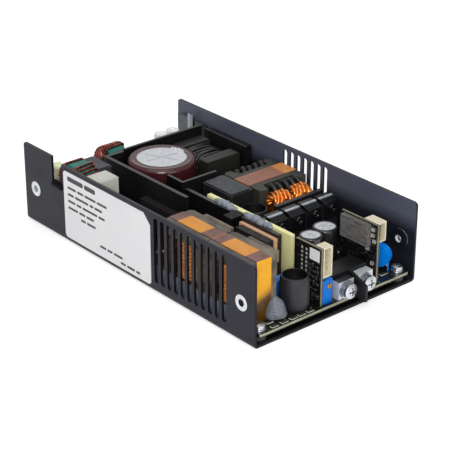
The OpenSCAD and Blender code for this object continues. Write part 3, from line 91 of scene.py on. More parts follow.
class SupplyTints(bpy.types.PropertyGroup):
    """Colours of the finishes."""
    sheet: tint_of("Channel", "Satin black of the folded sheet", (33, 34, 45))
    # Painted sheen: this lighter blue-grey stands for light on the far wall's inner face, which is the same
    # black sheet as outside.
    inside: tint_of("Channel inside", "Blue-black of the channel's inner faces", (88, 92, 108))
    # Painted highlight: this grey stands for light on the channel's upward top edges.
    edge: tint_of("Channel edges", "Grey of the channel's bare upper edges", (66, 66, 70))
    label: tint_of("Label", "Off-white of the label film", (240, 240, 242))
    bars: tint_of("Label bars", "Grey of the plain bars on the label", (58, 58, 62))
    film: tint_of("Insulating film", "Black of the film and the partitions", (15, 15, 18))
    plate: tint_of("Cooling plates", "Black of the anodised plates", (17, 17, 20))
    # Painted highlight: this grey stands for light on the upward edges of the plates and, darker, of the
    # partitions.
    plate_edge: tint_of("Plate edges", "Grey of the plates' sheared edges", (52, 52, 55))
    board: tint_of("Main board", "Dark solder mask of the main board", (24, 27, 20))
    upright: tint_of("Upright boards", "Black solder mask of the upright boards", (13, 14, 16))
    laminate: tint_of("Bare laminate", "Pale yellow of bare laminate", (252, 250, 182))
    zinc: tint_of("Zinc", "Bright zinc of screws and terminals", (212, 215, 220))
    sleeve: tint_of("Bulk capacitor sleeve", "Maroon of the shrunk sleeve", (70, 28, 32))
    can: tint_of("Capacitor tops", "Pale grey of the bare cans", (208, 210, 215))
    enamel: tint_of("Choke wire", "Red-brown enamel of the ring chokes", (136, 50, 28))
    copper: tint_of("Copper", "Bright copper of the stranded wire", (255, 150, 62))
    ring: tint_of("Ring cores", "Teal coat of the ring cores", (34, 112, 104))
    ferrite: tint_of("Ferrite", "Grey-green of the power cores", (48, 49, 44))
    brown_ferrite: tint_of("Taped cores", "Brown-grey of the taped cores", (96, 82, 62))
    tape: tint_of("Orange tape", "Amber tape round the chokes", (246, 160, 28))
    old_tape: tint_of("Tape ends", "Purple-brown of the tape laps", (118, 76, 68))
    brown_tape: tint_of("Transformer tape", "Pink-brown tape on the transformer", (150, 92, 66))
    ivory: tint_of("Headers", "Ivory of the headers", (228, 219, 192))
    blue: tint_of("Blue parts", "Blue of the trimmer and the discs", (0, 106, 198))
    pad: tint_of("Insulating pad", "Beige of the pad behind the module", (232, 182, 146))
    fleece: tint_of("Gap pad", "Grey of the soft gap pad", (96, 94, 92))
    silicone: tint_of("Adhesive", "Grey of the set adhesive", (134, 140, 152))
    potting: tint_of("Dark boxes", "Dark grey of the moulded boxes", (58, 60, 67))


class SupplySizes(bpy.types.PropertyGroup):
    """Sizes of the fine pieces."""
    choke_wire: length_of("Choke wire", "Thickness of the ring chokes' wire", 1.25)
    lead_wire: length_of("Black leads", "Thickness of the transformer's black leads", 2.5)
    bar_height: length_of("Label bar", "Height of one plain bar on the label", 1.25)
    pin: length_of("Header pin", "Side of one header pin", 0.64)
    chip: length_of("Chip", "Length of one chip resistor", 4.0)
    strand: length_of("Strand", "Thickness of one strand of the transformer's wire", 2.05)


class SupplyStage(bpy.types.PropertyGroup):
    """Camera and lamps."""
    azimuth: level_of("Azimuth", "Camera angle round the supply", math.radians(49.64), "ANGLE")
    elevation: level_of("Elevation", "Camera angle above the floor", math.radians(25.72), "ANGLE")
    eye: bpy.props.FloatVectorProperty(
        name="Camera place", description="Where the camera stands", size=3,
        subtype="XYZ", unit="LENGTH", default=(0.5425, -0.4534, 0.3532))
    lens: level_of("Lens", "Focal length in millimetres", 126.85)
    key: level_of("Key lamp", "Power of the large lamp over the supply", 2.4, "POWER")
    fill: level_of("Fill lamp", "Power of the lamp near the camera", 5.5, "POWER")
    front: level_of("Front lamp", "Power of the lamp off the output end", 1.6, "POWER")
    rim: level_of("Rim lamp", "Power of the lamp behind the supply", 1.4, "POWER")
    room: level_of("Room light", "Level of the even light all round", 0.38)


def tints():
    return bpy.context.scene.supply_tints


def sizes():
    return bpy.context.scene.supply_sizes


class Finish:
    """One procedural finish: patterns on Object coordinates feed one surface shader."""

    def __init__(self, name, roughness=0.5, metallic=0.0, coat=0.0, specular=0.5):
        self.material = bpy.data.materials.new(name)
        self.material.use_nodes = True
        self.nodes = self.material.node_tree.nodes
        self.links = self.material.node_tree.links
        self.shader = self.nodes["Principled BSDF"]
        for socket, value in (("Roughness", roughness), ("Metallic", metallic),
                              ("Coat Weight", coat), ("Specular IOR Level", specular)):
            self.shader.inputs[socket].default_value = value
        self.coords = self.nodes.new("ShaderNodeTexCoord")
        self.geometry = self.nodes.new("ShaderNodeNewGeometry")

    def feed(self, socket, value):
        """Links another socket to this one, or sets a plain value on it."""
        if isinstance(value, bpy.types.NodeSocket):
            self.links.new(value, socket)
        elif socket.type == "RGBA":
            socket.default_value = (*value[:3], 1.0)
        else:
            socket.default_value = value

    def pattern(self, kind, grain, stretch=(1, 1, 1)):
        """A texture on stretched Object coordinates, with so many grains to the metre."""
        texture = self.nodes.new("ShaderNodeTex" + kind)
        texture.inputs["Scale"].default_value = grain
        mapping = self.nodes.new("ShaderNodeMapping")
        mapping.inputs["Scale"].default_value = stretch
        self.links.new(self.coords.outputs["Object"], mapping.inputs["Vector"])
        self.links.new(mapping.outputs["Vector"], texture.inputs["Vector"])
        return texture

    def noise(self, grain, stretch=(1, 1, 1), detail=3.0):
        """Cloudy pattern."""
        texture = self.pattern("Noise", grain, stretch)
        texture.inputs["Detail"].default_value = detail
        return texture.outputs["Fac"]

    def cells(self, grain):
        """Cell pattern: the distance to the nearest cell's middle."""
        return self.pattern("Voronoi", grain).outputs["Distance"]

    def stripes(self, grain, axis):
        """Straight stripes across one axis."""
        texture = self.pattern("Wave", grain)
        texture.bands_direction = axis
        return texture.outputs["Fac"]

    def bricks(self, grain, tint, shades, line_width):
        """Runs of short blocks with lines between them, as copper areas on a board."""
        texture = self.pattern("Brick", grain)
        for socket, times in zip(("Color1", "Color2", "Mortar"), shades):
            self.feed(texture.inputs[socket], shade(tint, times))
        texture.inputs["Mortar Size"].default_value = line_width
        return texture.outputs["Color"]

    def ramp(self, factor, *stops):
        """Colours along a factor."""
        node = self.nodes.new("ShaderNodeValToRGB")
        elements = node.color_ramp.elements
        while len(elements) < len(stops):
            elements.new(0.5)
        for element, (at, tint) in zip(elements, stops):
            element.position = at
            element.color = (*tint[:3], 1.0)
        self.links.new(factor, node.inputs["Fac"])
        return node.outputs["Color"]

    def fade(self, factor, first, second, start=0.3, end=0.7):
        """One colour that goes over into another along a factor."""
        return self.ramp(factor, (start, first), (end, second))

    def tone(self, factor, tint, dark, light, start=0.3, end=0.7):
        """One tint that goes from darker to lighter along a factor."""
        return self.fade(factor, shade(tint, dark), shade(tint, light), start, end)

    def span(self, value, low, high, start=0.3, end=0.7):
        """Moves a value from one range into another."""
        node = self.nodes.new("ShaderNodeMapRange")
        self.links.new(value, node.inputs["Value"])
        for socket, level in (("From Min", start), ("From Max", end), ("To Min", low), ("To Max", high)):
            node.inputs[socket].default_value = level
        return node.outputs["Result"]

    def rise(self, value, start, end):
        """None below the start and one above the end."""
        return self.span(value, 0.0, 1.0, start, end)

    def fall(self, value, start, end):
        """One below the start and none above the end."""
        return self.span(value, 1.0, 0.0, start, end)

    def between(self, value, low, high, soft):
        """One between the two levels and none outside them."""
        return self.both(self.rise(value, low - soft, low + soft), self.fall(value, high - soft, high + soft))

    def sum(self, operation, first, second=0.0):
        """One step of arithmetic."""
        node = self.nodes.new("ShaderNodeMath")
        node.operation = operation
        self.feed(node.inputs[0], first)
        self.feed(node.inputs[1], second)
        return node.outputs[0]

    def both(self, first, second):
        """Where two masks meet."""
        return self.sum("MULTIPLY", first, second)

    def either(self, first, second):
        """Where one mask or the other is."""
        return self.sum("MAXIMUM", first, second)

    def unsigned(self, value):
        """A value without its sign."""
        return self.sum("ABSOLUTE", value)

    def mix(self, factor, first, second, kind="MIX"):
        """One colour over another."""
        node = self.nodes.new("ShaderNodeMix")
        node.data_type = "RGBA"
        node.blend_type = kind
        for socket, value in ((0, factor), (6, first), (7, second)):
            self.feed(node.inputs[socket], value)
        return node.outputs[2]

    def dim(self, colour, times):
        """The colour of a pattern made darker."""
        return self.mix(1.0, colour, (times, times, times), "MULTIPLY")

    def part(self, vector, index):
        """One part of a vector."""
        node = self.nodes.new("ShaderNodeSeparateXYZ")
        self.links.new(vector, node.inputs["Vector"])
        return node.outputs[index]

    def place(self, index):
        """One part of the place on the piece."""
        return self.part(self.coords.outputs["Object"], index)

    def way(self, index):
        """One part of the surface's direction."""
        return self.part(self.geometry.outputs["True Normal"], index)

    def cloud(self, pattern):
        """A pattern as it is, or a cloudy one of the given grain."""
        return pattern if isinstance(pattern, bpy.types.NodeSocket) else self.noise(pattern)

    def close(self, colour, gloss, relief):
        """Ends a finish: colour, gloss of (pattern, smooth, rough) and relief of (pattern, depth in mm)."""
        pattern, smooth, rough = gloss
        height, depth = relief
        self.feed(self.shader.inputs["Base Color"], colour)
        self.feed(self.shader.inputs["Roughness"], self.span(self.cloud(pattern), smooth, rough))
        bump = self.nodes.new("ShaderNodeBump")
        bump.inputs["Strength"].default_value = 1.0
        bump.inputs["Distance"].default_value = depth * MM
        self.links.new(self.cloud(height), bump.inputs["Height"])
        self.links.new(bump.outputs["Normal"], self.shader.inputs["Normal"])
        return self


def mottled(name, tint, roughness, grain=260, spread=0.14, fine=1800, depth=0.02,
            metallic=0.0, coat=0.0, specular=0.5):
    """Plain finish: soft mottling, uneven gloss and a fine relief."""
    finish = Finish(name, roughness, metallic, coat, specular)
    colour = finish.tone(finish.noise(grain), tint, 1 - spread, 1 + spread)
    return finish.close(colour, gloss=(grain * 2.3, roughness - 0.08, roughness + 0.08), relief=(fine, depth))


def lit_from_above(name, face, edge, roughness, grain=300):
    """Finish of a sheet: one colour on its faces and another on its upward faces; the difference is painted
    light from above, a painted highlight on the plates' upward edges and painted shade on the resonant choke's
    sides.
    """
    finish = Finish(name, roughness)
    up = finish.rise(finish.way(2), 0.7, 0.9)
    faces = finish.tone(finish.noise(grain), face, 0.82, 1.2)
    edges = finish.tone(finish.noise(grain * 4, (0.3, 0.3, 1)), edge, 0.75, 1.15)
    colour = finish.mix(up, faces, edges)
    return finish.close(colour, gloss=(grain * 3, roughness - 0.08, roughness + 0.1), relief=(2200, 0.012))


def dress(finish, *names):
    """Gives one finish to the frame's own solids."""
    for name in names:
        for slot in NODES[name].material_slots:
            slot.material = finish.material


def only(*pieces):
    """Back to object mode with just these pieces selected."""
    if bpy.context.mode != "OBJECT":
        bpy.ops.object.mode_set(mode="OBJECT")
    bpy.ops.object.select_all(action="DESELECT")
    for piece in pieces:
        piece.select_set(True)
    if pieces:
        bpy.context.view_layer.objects.active = pieces[0]


def named(name):
    """Names the new primitive and puts its place into its mesh."""
    piece = bpy.context.object
    piece.name = piece.data.name = name
    bpy.ops.object.transform_apply(location=True, rotation=True, scale=True)
    return piece


def block(name, low, high):
    """Starts a piece from a box between two corners."""
    only()
    low, high = Vector(low), Vector(high)
    bpy.ops.mesh.primitive_cube_add(size=1, location=(low + high) / 2, scale=high - low)
    return named(name)


def rod(name, radius, depth, place, turn=(0, 0, 0), sides=20):
    """Starts a piece from an upright round bar round its middle."""
    only()
    bpy.ops.mesh.primitive_cylinder_add(
        vertices=sides, radius=radius, depth=depth, location=place, rotation=turn)
    return named(name)


def ball(name, radius, place, sides, rings, stretch=(1, 1, 1)):
    """Starts a piece from a ball round its middle."""
    only()
    bpy.ops.mesh.primitive_uv_sphere_add(
        segments=sides, ring_count=rings, radius=radius, location=place, scale=stretch)
    return named(name)


def wire(name, points, thickness, sides=3):
    """A round wire along a smooth path, turned into a mesh."""
    only()
    bpy.ops.curve.primitive_nurbs_path_add()
    piece = bpy.context.object
    piece.data.dimensions = "3D"
    spline = piece.data.splines[0]
    if len(points) > len(spline.points):
        spline.points.add(len(points) - len(spline.points))
    for point, place in zip(spline.points, points):
        point.co = (*place, 1.0)
    spline.order_u = 4
    spline.use_endpoint_u = True
    spline.resolution_u = 6
    piece.data.bevel_depth = thickness / 2
    piece.data.bevel_resolution = sides
    piece.data.use_fill_caps = True
    bpy.ops.object.convert(target="MESH")
    return named(name)


def edit(piece, kind="FACE"):
    """Edit mode on one piece with everything selected."""
    only(piece)
    bpy.ops.object.mode_set(mode="EDIT")
    bpy.ops.mesh.select_mode(type=kind)
    bpy.ops.mesh.select_all(action="SELECT")


def choose(piece, kind, test):
    """Edit mode with the faces or edges selected whose middle and direction pass the test."""
    edit(piece, kind)
    bpy.ops.mesh.select_all(action="DESELECT")
    bpy.ops.object.mode_set(mode="OBJECT")
    if kind == "FACE":
        for face in piece.data.polygons:
            face.select = bool(test(face.center, face.normal))
    else:
        points = piece.data.vertices
        for line in piece.data.edges:
            start, end = (points[index].co for index in line.vertices)
            line.select = bool(test((start + end) / 2, (end - start).normalized()))
    bpy.ops.object.mode_set(mode="EDIT")


def push(x=0.0, y=0.0, z=0.0):
    """Extrudes the selected faces."""
    bpy.ops.mesh.extrude_region_move(TRANSFORM_OT_translate={"value": (x, y, z)})


def inset(piece, test, width, depth=0.0):
    """Insets the faces that pass the test, which stay selected."""
    choose(piece, "FACE", test)
    bpy.ops.mesh.inset(thickness=width, depth=depth)


def soften(piece, size, steps=1, test=None):
    """Rounds all edges of a piece, or those that pass the test."""
    if test:
        choose(piece, "EDGE", test)
    else:
        edit(piece, "EDGE")
    bpy.ops.mesh.bevel(offset=size, segments=steps, affect="EDGES")
    only(piece)


def add_modifier(piece, kind, **settings):
    """Adds one modifier and applies it."""
    only(piece)
    modifier = piece.modifiers.new(kind.title(), kind)
    for name, value in settings.items():
        setattr(modifier, name, value)
    bpy.ops.object.modifier_apply(modifier=modifier.name)


def twin(piece, place):
    """A copy with its own mesh, moved by a matrix."""
    copy = piece.copy()
    copy.data = piece.data.copy()
    bpy.context.scene.collection.objects.link(copy)
    copy.data.transform(place)
    return copy


def shifted(x=0.0, y=0.0, z=0.0):
    return Matrix.Translation((x, y, z))


def turned(angle, axis):
    return Matrix.Rotation(angle, 4, axis)


def join(name, pieces):
    """Makes one piece of several."""
    only(*pieces)
    if len(pieces) > 1:
        bpy.ops.object.join()
    piece = bpy.context.object
    piece.name = piece.data.name = name
    return piece


def scatter(name, pattern, places):
    """Makes one piece of copies of a pattern at the given places, and takes the pattern away."""
    only()
    copies = [twin(pattern, place) for place in places]
    bpy.data.objects.remove(pattern)
    return join(name, copies)


def mark_faces(piece, body, other, test):
    """Gives a piece two finishes, the second one on the faces that pass the test."""
    only(piece)
    for finish in (body, other):
        piece.data.materials.append(finish.material)
    for face in piece.data.polygons:
        face.material_index = int(test(face.center, face.normal))


def settle(piece, slot, *finishes, angle=35, stands_for=()):
    """Ends a piece: outward faces, shading, finish and the body it rides on; the slot is not used."""
    edit(piece)
    bpy.ops.mesh.normals_make_consistent(inside=False)
    only(piece)
    bpy.ops.object.shade_smooth_by_angle(angle=math.radians(angle))
    while len(piece.data.materials) < len(finishes):
        piece.data.materials.append(None)
    for index, finish in enumerate(finishes):
        piece.data.materials[index] = finish.material
    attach(piece, BODY)
    if stands_for:
        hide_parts(*stands_for)


def header_pins(node, columns, rows, finish):
    """Square pins with pointed ends inside a header's socket, which opens to the output end."""
    low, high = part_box(node)
    middle = (low + high) / 2
    side, point = sizes().pin, 0.5 * MM
    across, up = 2.0 * MM, 2.5 * MM
    pin = block("pin", (low.x - 0.8 * MM, -side / 2, -side / 2), (high.x - 1.3 * MM, side / 2, side / 2))
    choose(pin, "FACE", lambda place, way: way.x > FACING)
    push(x=point)
    bpy.ops.transform.resize(value=(1, 0.4, 0.4), center_override=(0, 0, 0))
    places = [shifted(0, middle.y + (column - (columns - 1) / 2) * across,
                      middle.z + (row - (rows - 1) / 2) * up)
              for column in range(columns) for row in range(rows)]
    settle(scatter(node + "_pins", pin, places), "tinned_brass", finish)


class SUPPLY_OT_stage(bpy.types.Operator):
    """Set up the pale floor, the soft lamps and the camera"""
    bl_idname = "supply.stage"
    bl_label = "Stage"

    def execute(self, context):
        setup = context.scene.supply_stage
        context.scene.view_settings.view_transform = "Standard"
        self.lay_floor()
        self.light_room(context.scene, setup.room)
        self.hang_lamp("key_lamp", setup.key, (0.15, -0.25, 0.95), 0.9)
        self.hang_lamp("fill_lamp", setup.fill, (0.8, -0.68, 0.56), 0.45)
        self.hang_lamp("front_lamp", setup.front, (1.1, -0.1, 0.42), 0.6)
        self.hang_lamp("rim_lamp", setup.rim, (-0.7, 0.45, 0.75), 0.6)
        self.stand_camera(context.scene, setup)
        return {"FINISHED"}

    def lay_floor(self):
        """Pale floor a hair below the supply, which shows paler to the camera than it lights."""
        only()
        bpy.ops.mesh.primitive_plane_add(size=12, location=(0, 0, -0.2 * MM))
        floor = named("floor")
        edit(floor)
        bpy.ops.mesh.subdivide(number_cuts=3)
        only(floor)
        pale = Finish("pale_floor", 0.7)
        tint = pale.fade(pale.noise(3), (0.8, 0.8, 0.8), (0.84, 0.84, 0.84))
        pale.feed(pale.shader.inputs["Base Color"], tint)
        path = pale.nodes.new("ShaderNodeLightPath").outputs
        seen = pale.either(path["Is Camera Ray"], path["Is Glossy Ray"])
        seen = pale.either(seen, path["Is Transmission Ray"])
        pale.shader.inputs["Emission Color"].default_value = (1, 1, 1, 1)
        pale.feed(pale.shader.inputs["Emission Strength"], pale.both(seen, 0.5))
        floor.data.materials.append(pale.material)

    def light_room(self, scene, level):
        """Even light from all round, with white behind the supply."""
        world = bpy.data.worlds.new("room")
        world.use_nodes = True
        scene.world = world
        nodes, links = world.node_tree.nodes, world.node_tree.links
        even, white = nodes["Background"], nodes.new("ShaderNodeBackground")
        for light, strength in ((even, level), (white, 1.0)):
            light.inputs["Color"].default_value = (1, 1, 1, 1)
            light.inputs["Strength"].default_value = strength
        path = nodes.new("ShaderNodeLightPath")
        seen = nodes.new("ShaderNodeMath")
        seen.operation = "MAXIMUM"
        choice = nodes.new("ShaderNodeMixShader")
        for start, end in ((path.outputs["Is Camera Ray"], seen.inputs[0]),
                           (path.outputs["Is Transmission Ray"], seen.inputs[1]),
                           (seen.outputs[0], choice.inputs["Fac"]),
                           (even.outputs[0], choice.inputs[1]),
                           (white.outputs[0], choice.inputs[2]),
                           (choice.outputs[0], nodes["World Output"].inputs["Surface"])):
            links.new(start, end)

    def hang_lamp(self, name, power, place, size):
        """Square lamp that looks at the supply's middle."""
        only()
        aim = Vector((0, 0, 0.02)) - Vector(place)
        bpy.ops.object.light_add(
            type="AREA", location=place, rotation=aim.to_track_quat("-Z", "Y").to_euler())
        lamp = bpy.context.object
        lamp.name = lamp.data.name = name
        lamp.data.energy = power
        lamp.data.size = size

    def stand_camera(self, scene, setup):
        only()
        level = math.cos(setup.elevation)
        back = Vector((math.sin(setup.azimuth) * level, -math.cos(setup.azimuth) * level,
                       math.sin(setup.elevation)))
        bpy.ops.object.camera_add(
            location=setup.eye, rotation=(-back).to_track_quat("-Z", "Y").to_euler())
        camera = bpy.context.object
        camera.name = "photo_camera"
        camera.data.sensor_width = 36
        camera.data.lens = setup.lens
        camera.data.clip_start = 0.01
        scene.camera = camera


class SUPPLY_OT_channel(bpy.types.Operator):
    """Finish the folded channel, its nuts, screws, label and film"""
    bl_idname = "supply.channel"
    bl_label = "Channel and label"

    def execute(self, context):
        colours = tints()
        dress(self.sheet_finish(colours), "channel")
        dress(mottled("bright_zinc", colours.zinc, 0.3, grain=500, spread=0.1, fine=3000, depth=0.006,
                      metallic=1.0), "board_screws")
        # Painted shade: the standoffs under the main board are painted a dark steel at 0.12 of the zinc.
        dress(mottled("standoff_steel_painted_shade", shade(colours.zinc, 0.12), 0.5, grain=400, depth=0.01, metallic=0.4),
              "board_standoffs")
        dress(self.nut_finish(), "side_nuts")
        dress(self.film_finish(colours), "insulating_film")
        dress(self.label_finish(colours), "rating_label")
        self.print_bars(colours)
        self.fold_film()
        self.turn_up_film()
        self.edge_notch()
        return {"FINISHED"}

    def sheet_finish(self, colours):
        """Satin black outside; on the far wall's inner face a blue-grey painted sheen above the contents and
        painted shade below them; painted shade on the faces towards the output end, and a painted highlight on
        the upward faces of the top edges.
        """
        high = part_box("channel")[1]
        sheet = Finish("satin_sheet", 0.4, specular=0.18)
        outside = sheet.tone(sheet.noise(40), colours.sheet, 0.9, 1.1)
        # Painted shade below the contents' tops and painted sheen above them, on the far wall's inner face.
        upper = sheet.rise(sheet.place(2), 25 * MM, 33 * MM)
        inside = sheet.mix(upper, shade(colours.inside, 0.14), colours.inside)
        far = sheet.rise(sheet.place(1), high.y - 3 * MM, high.y - 2.6 * MM)
        faces_in = sheet.fall(sheet.way(1), -0.9, -0.5)
        body = sheet.mix(sheet.both(far, faces_in), outside, inside)
        # Painted shade: the faces that look towards the output end are painted darker.
        ends = sheet.span(sheet.way(0), 0.0, 0.8, 0.6, 0.9)
        body = sheet.mix(ends, body, shade(colours.sheet, 0.25))
        # Painted highlight: the upward faces within the top few millimetres get the lighter grey.
        rim = sheet.rise(sheet.place(2), high.z - 6 * MM, high.z - 5 * MM)
        up = sheet.rise(sheet.way(2), 0.5, 0.8)
        colour = sheet.mix(sheet.both(rim, up), body, colours.edge)
        return sheet.close(colour, gloss=(90, 0.34, 0.46), relief=(2600, 0.016))

    def nut_finish(self):
        """Bright plating with painted shade in each bore seen from outside, grey, and near black in the near
        wall's rear nut; inside the far wall the other way round, grey round the bore and plating in it.
        """
        low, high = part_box("side_nuts")
        from_end = 4.8 * MM
        nut = Finish("plated_nut", 0.34, metallic=0.15)
        plating = nut.fade(nut.noise(420), ink(222, 226, 232), ink(244, 246, 249))
        along = nut.sum("SUBTRACT", nut.unsigned(nut.place(0)), high.x - from_end)
        level = nut.sum("SUBTRACT", nut.place(2), (low.z + high.z) / 2)
        reach = nut.sum("SQRT", nut.sum("ADD", nut.sum("POWER", along, 2.0), nut.sum("POWER", level, 2.0)))
        ring = nut.rise(reach, 1.75 * MM, 1.95 * MM)
        far = nut.between(nut.place(1), 0.0, high.y - 1.3 * MM, 0.05 * MM)
        # Painted shade in the holes: seen from outside each bore takes the grey, the near wall's rear nut the
        # near black; inside the far wall the grey goes round the bore.
        dark = nut.sum("SUBTRACT", 1.0, nut.unsigned(nut.sum("SUBTRACT", ring, far)))
        rear = nut.both(nut.fall(nut.place(0), -MM, MM), nut.fall(nut.place(1), -MM, MM))
        bore = nut.mix(rear, ink(24, 26, 32), ink(186, 192, 198))
        return nut.close(nut.mix(dark, plating, bore), gloss=(900, 0.26, 0.4), relief=(2600, 0.01))

    def film_finish(self, colours):
        """Black film whose flap runs out clear and glossy towards the input end."""
        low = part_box("insulating_film")[0]
        film = Finish("black_film", 0.3)
        cloud = film.noise(60)
        black = film.tone(cloud, colours.film, 0.9, 1.1)
        clear = film.fade(cloud, ink(52, 60, 68), ink(86, 98, 106), 0.35, 0.65)
        rear = film.fall(film.place(0), low.x + 12 * MM, low.x + 14 * MM)
        flap = film.rise(film.place(2), low.z + 4 * MM, low.z + 8 * MM)
        colour = film.mix(film.both(rear, flap), black, clear)
        return film.close(colour, gloss=(140, 0.24, 0.4), relief=(350, 0.05))

    def label_finish(self, colours):
        """Satin film with a faint ripple."""
        film = Finish("label_film", 0.38)
        colour = film.tone(film.noise(25), colours.label, 0.97, 1.02)
        return film.close(colour, gloss=(120, 0.32, 0.44), relief=(700, 0.006))

    def print_bars(self, colours):
        """Rows of plain bars: each row's start and level on the label, and its bars' lengths in mm."""
        rows = ((0.05, 0.87, (13, 9)), (0.05, 0.755, (7, 5, 9, 8)), (0.05, 0.655, (5, 11, 3, 6)),
                (0.05, 0.555, (6, 4, 12, 5)), (0.05, 0.455, (8, 5, 6)), (0.2, 0.36, (4, 7)),
                (0.42, 0.13, (5, 4, 7)), (0.66, 0.055, (4, 6, 3)))
        top_row, gap = 0.87, 1.1
        low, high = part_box("rating_label")
        bars = []
        for start, level, lengths in rows:
            x = low.x + (high.x - low.x) * start
            z = low.z + (high.z - low.z) * level
            tall = sizes().bar_height * (2.0 if level == top_row else 1.0)
            for length in lengths:
                bars.append(self.bar(x, z, length * MM, tall, low.y))
                x += (length + gap) * MM
        bar_ink = mottled("bar_ink", colours.bars, 0.5, grain=900, spread=0.2, fine=3000, depth=0.002)
        settle(join("label_bars", bars), "label_film", bar_ink)

    def bar(self, x, z, length, height, face):
        """One bar with rounded corners."""
        proud = 0.03 * MM
        bar = block("label_bar", (x, face - proud, z), (x + length, face + SINK, z + height))
        soften(bar, height * 0.3, 2, lambda place, way: abs(way.y) > FACING)
        return bar

    def fold_film(self):
        """Glossy fold of clear film that stands against the flap at the far wall."""
        low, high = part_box("insulating_film")
        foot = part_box("main_board")[1].z
        tall = high.z + 3 * MM - foot
        middle = (low.x + 13.5 * MM, high.y - 1.1 * MM, foot + tall / 2)
        roll = rod("film_fold", 1.7 * MM, tall, middle, sides=32)
        edit(roll)
        bpy.ops.transform.resize(value=(1, 0.5, 1), center_override=middle)
        choose(roll, "FACE", lambda place, way: abs(way.z) > FACING or place.y > high.y - 0.5 * MM)
        bpy.ops.mesh.delete(type="FACE")
        add_modifier(roll, "SOLIDIFY", thickness=0.25 * MM, offset=0)
        clear = mottled("clear_film", ink(166, 176, 182), 0.16, grain=70, spread=0.2, fine=220, depth=0.03,
                        coat=0.6)
        settle(roll, "black_film", clear, angle=ROUND)

    def turn_up_film(self):
        """The film's side turned up behind the slots, with small cut corners, painted a pale blue-grey as
        painted light on the dark film.
        """
        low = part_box("insulating_film")[0]
        start, end, top, thick = 10 * MM, 82 * MM, 11.4 * MM, 0.25 * MM
        side = block("film_side", (start, low.y - thick, low.z), (end, low.y + SINK, top))
        soften(side, 3 * MM, 1, lambda place, way: abs(way.y) > FACING and place.z > top / 2)
        # Painted light: the pale blue-grey lightens the film side, which lies in shade behind the slots.
        film = mottled("side_film_painted_light", ink(112, 116, 134), 0.4, grain=60, spread=0.12, fine=350, depth=0.05)
        settle(side, "black_film", film)

    def edge_notch(self):
        """Black edging rolled over the lower edge of the wire notch."""
        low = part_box("channel")[0]
        start, end = low.x + 25.2 * MM, low.x + 32.4 * MM
        middle = ((start + end) / 2, low.y + 0.6 * MM, 28.4 * MM)
        bead = rod("notch_edging", 2.0 * MM, end - start, middle, turn=(0, QUARTER, 0), sides=24)
        inset(bead, lambda place, way: abs(way.x) > FACING, 0.7 * MM, 0.5 * MM)
        soften(bead, 0.3 * MM, 2)
        rubber = mottled("edging_rubber", ink(6, 6, 8), 0.6, grain=300, depth=0.03, specular=0.12)
        settle(bead, "black_plastic", rubber, angle=40)


class SUPPLY_OT_main_board(bpy.types.Operator):
    """Finish the main board and set its chips and solder points"""
    bl_idname = "supply.main_board"
    bl_label = "Main board"

    def execute(self, context):
        dress(self.board_finish(tints()), "main_board")
        self.set_chips()
        self.set_joints()
        return {"FINISHED"}

    def board_finish(self, colours):
        """Dark mask with faint copper runs above, and bare laminate at the front cut side."""
        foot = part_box("main_board")[0].z
        mask = Finish("board_mask", 0.34)
        runs = mask.bricks(95, colours.board, (0.85, 1.3, 0.5), 0.03)
        dots = mask.fall(mask.cells(330), 0.10, 0.14)
        runs = mask.mix(dots, runs, ink(176, 170, 132))
        front = mask.rise(mask.way(0), 0.4, 0.6)
        upper = mask.rise(mask.place(2), foot + 0.35 * MM, foot + 0.6 * MM)
        weave = mask.ramp(mask.noise(700, (0.2, 0.2, 1.6)),
                          (0.25, ink(96, 93, 72)), (0.5, ink(160, 158, 130)), (0.75, ink(190, 188, 164)))
        colour = mask.mix(mask.both(front, upper), runs, weave)
        return mask.close(colour, gloss=(200, 0.28, 0.44), relief=(500, 0.02))

    def chip(self, body, tin):
        """A chip with a dark body on a tinned pad that shows all round it."""
        length = sizes().chip
        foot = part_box("main_board")[1].z
        pad = foot + 0.15 * MM
        chip = block("chip", (-length / 2, -length / 4, foot), (length / 2, length / 4, pad))
        inset(chip, lambda place, way: way.z > FACING, length * 0.09)
        push(z=length * 0.12)
        mark_faces(chip, body, tin, lambda place, way: place.z < pad + 0.01 * MM)
        soften(chip, 0.05 * MM)
        return chip

    def set_chips(self):
        """A row of chips along the output end, and more between the upright parts."""
        body = mottled("chip_body", ink(44, 46, 42), 0.5, grain=800, spread=0.1, fine=3000, depth=0.004)
        tin = mottled("tinned_ends", ink(236, 232, 214), 0.4, grain=900, metallic=0.1, depth=0.006)
        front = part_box("main_board")[1].x - 2.0 * MM
        spots = [(front, y * MM) for y in (-37, -31, -25.4, -20.4, -15.2)]
        spots += [(front - 4 * MM, y * MM) for y in (-36.5, 30, 36)]
        spots += [(x * MM, y * MM) for x in (-30, -22, -6, 8) for y in (-44, -32)]
        places = [shifted(x, y) @ turned(QUARTER, "Z") for x, y in spots]
        settle(scatter("board_chips", self.chip(body, tin), places), "tinned_brass", body, tin)

    def set_joints(self):
        """Low domes of solder beside the parts."""
        middle = (0, 0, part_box("main_board")[1].z)
        dome = ball("joint", 0.75 * MM, middle, 12, 6)
        edit(dome)
        bpy.ops.mesh.bisect(plane_co=middle, plane_no=(0, 0, 1), clear_inner=True, use_fill=True)
        bpy.ops.transform.resize(value=(1, 1, 0.6), center_override=middle)
        spots = [(x, y) for x in (-40, -28, -16, -4, 10) for y in (-47, -28.6)]
        spots += [(80, 30), (77, 44), (72, 33), (66, 36), (60, 40), (52, 36), (46, 30), (44, 8), (40, 14),
                  (52, 6), (-70, 24), (-68, 40), (-75, 0)]
        solder = mottled("solder", ink(186, 188, 192), 0.26, grain=600, metallic=1.0, depth=0.01)
        domes = scatter("solder_joints", dome, [shifted(x * MM, y * MM) for x, y in spots])
        settle(domes, "tinned_brass", solder, angle=ROUND)


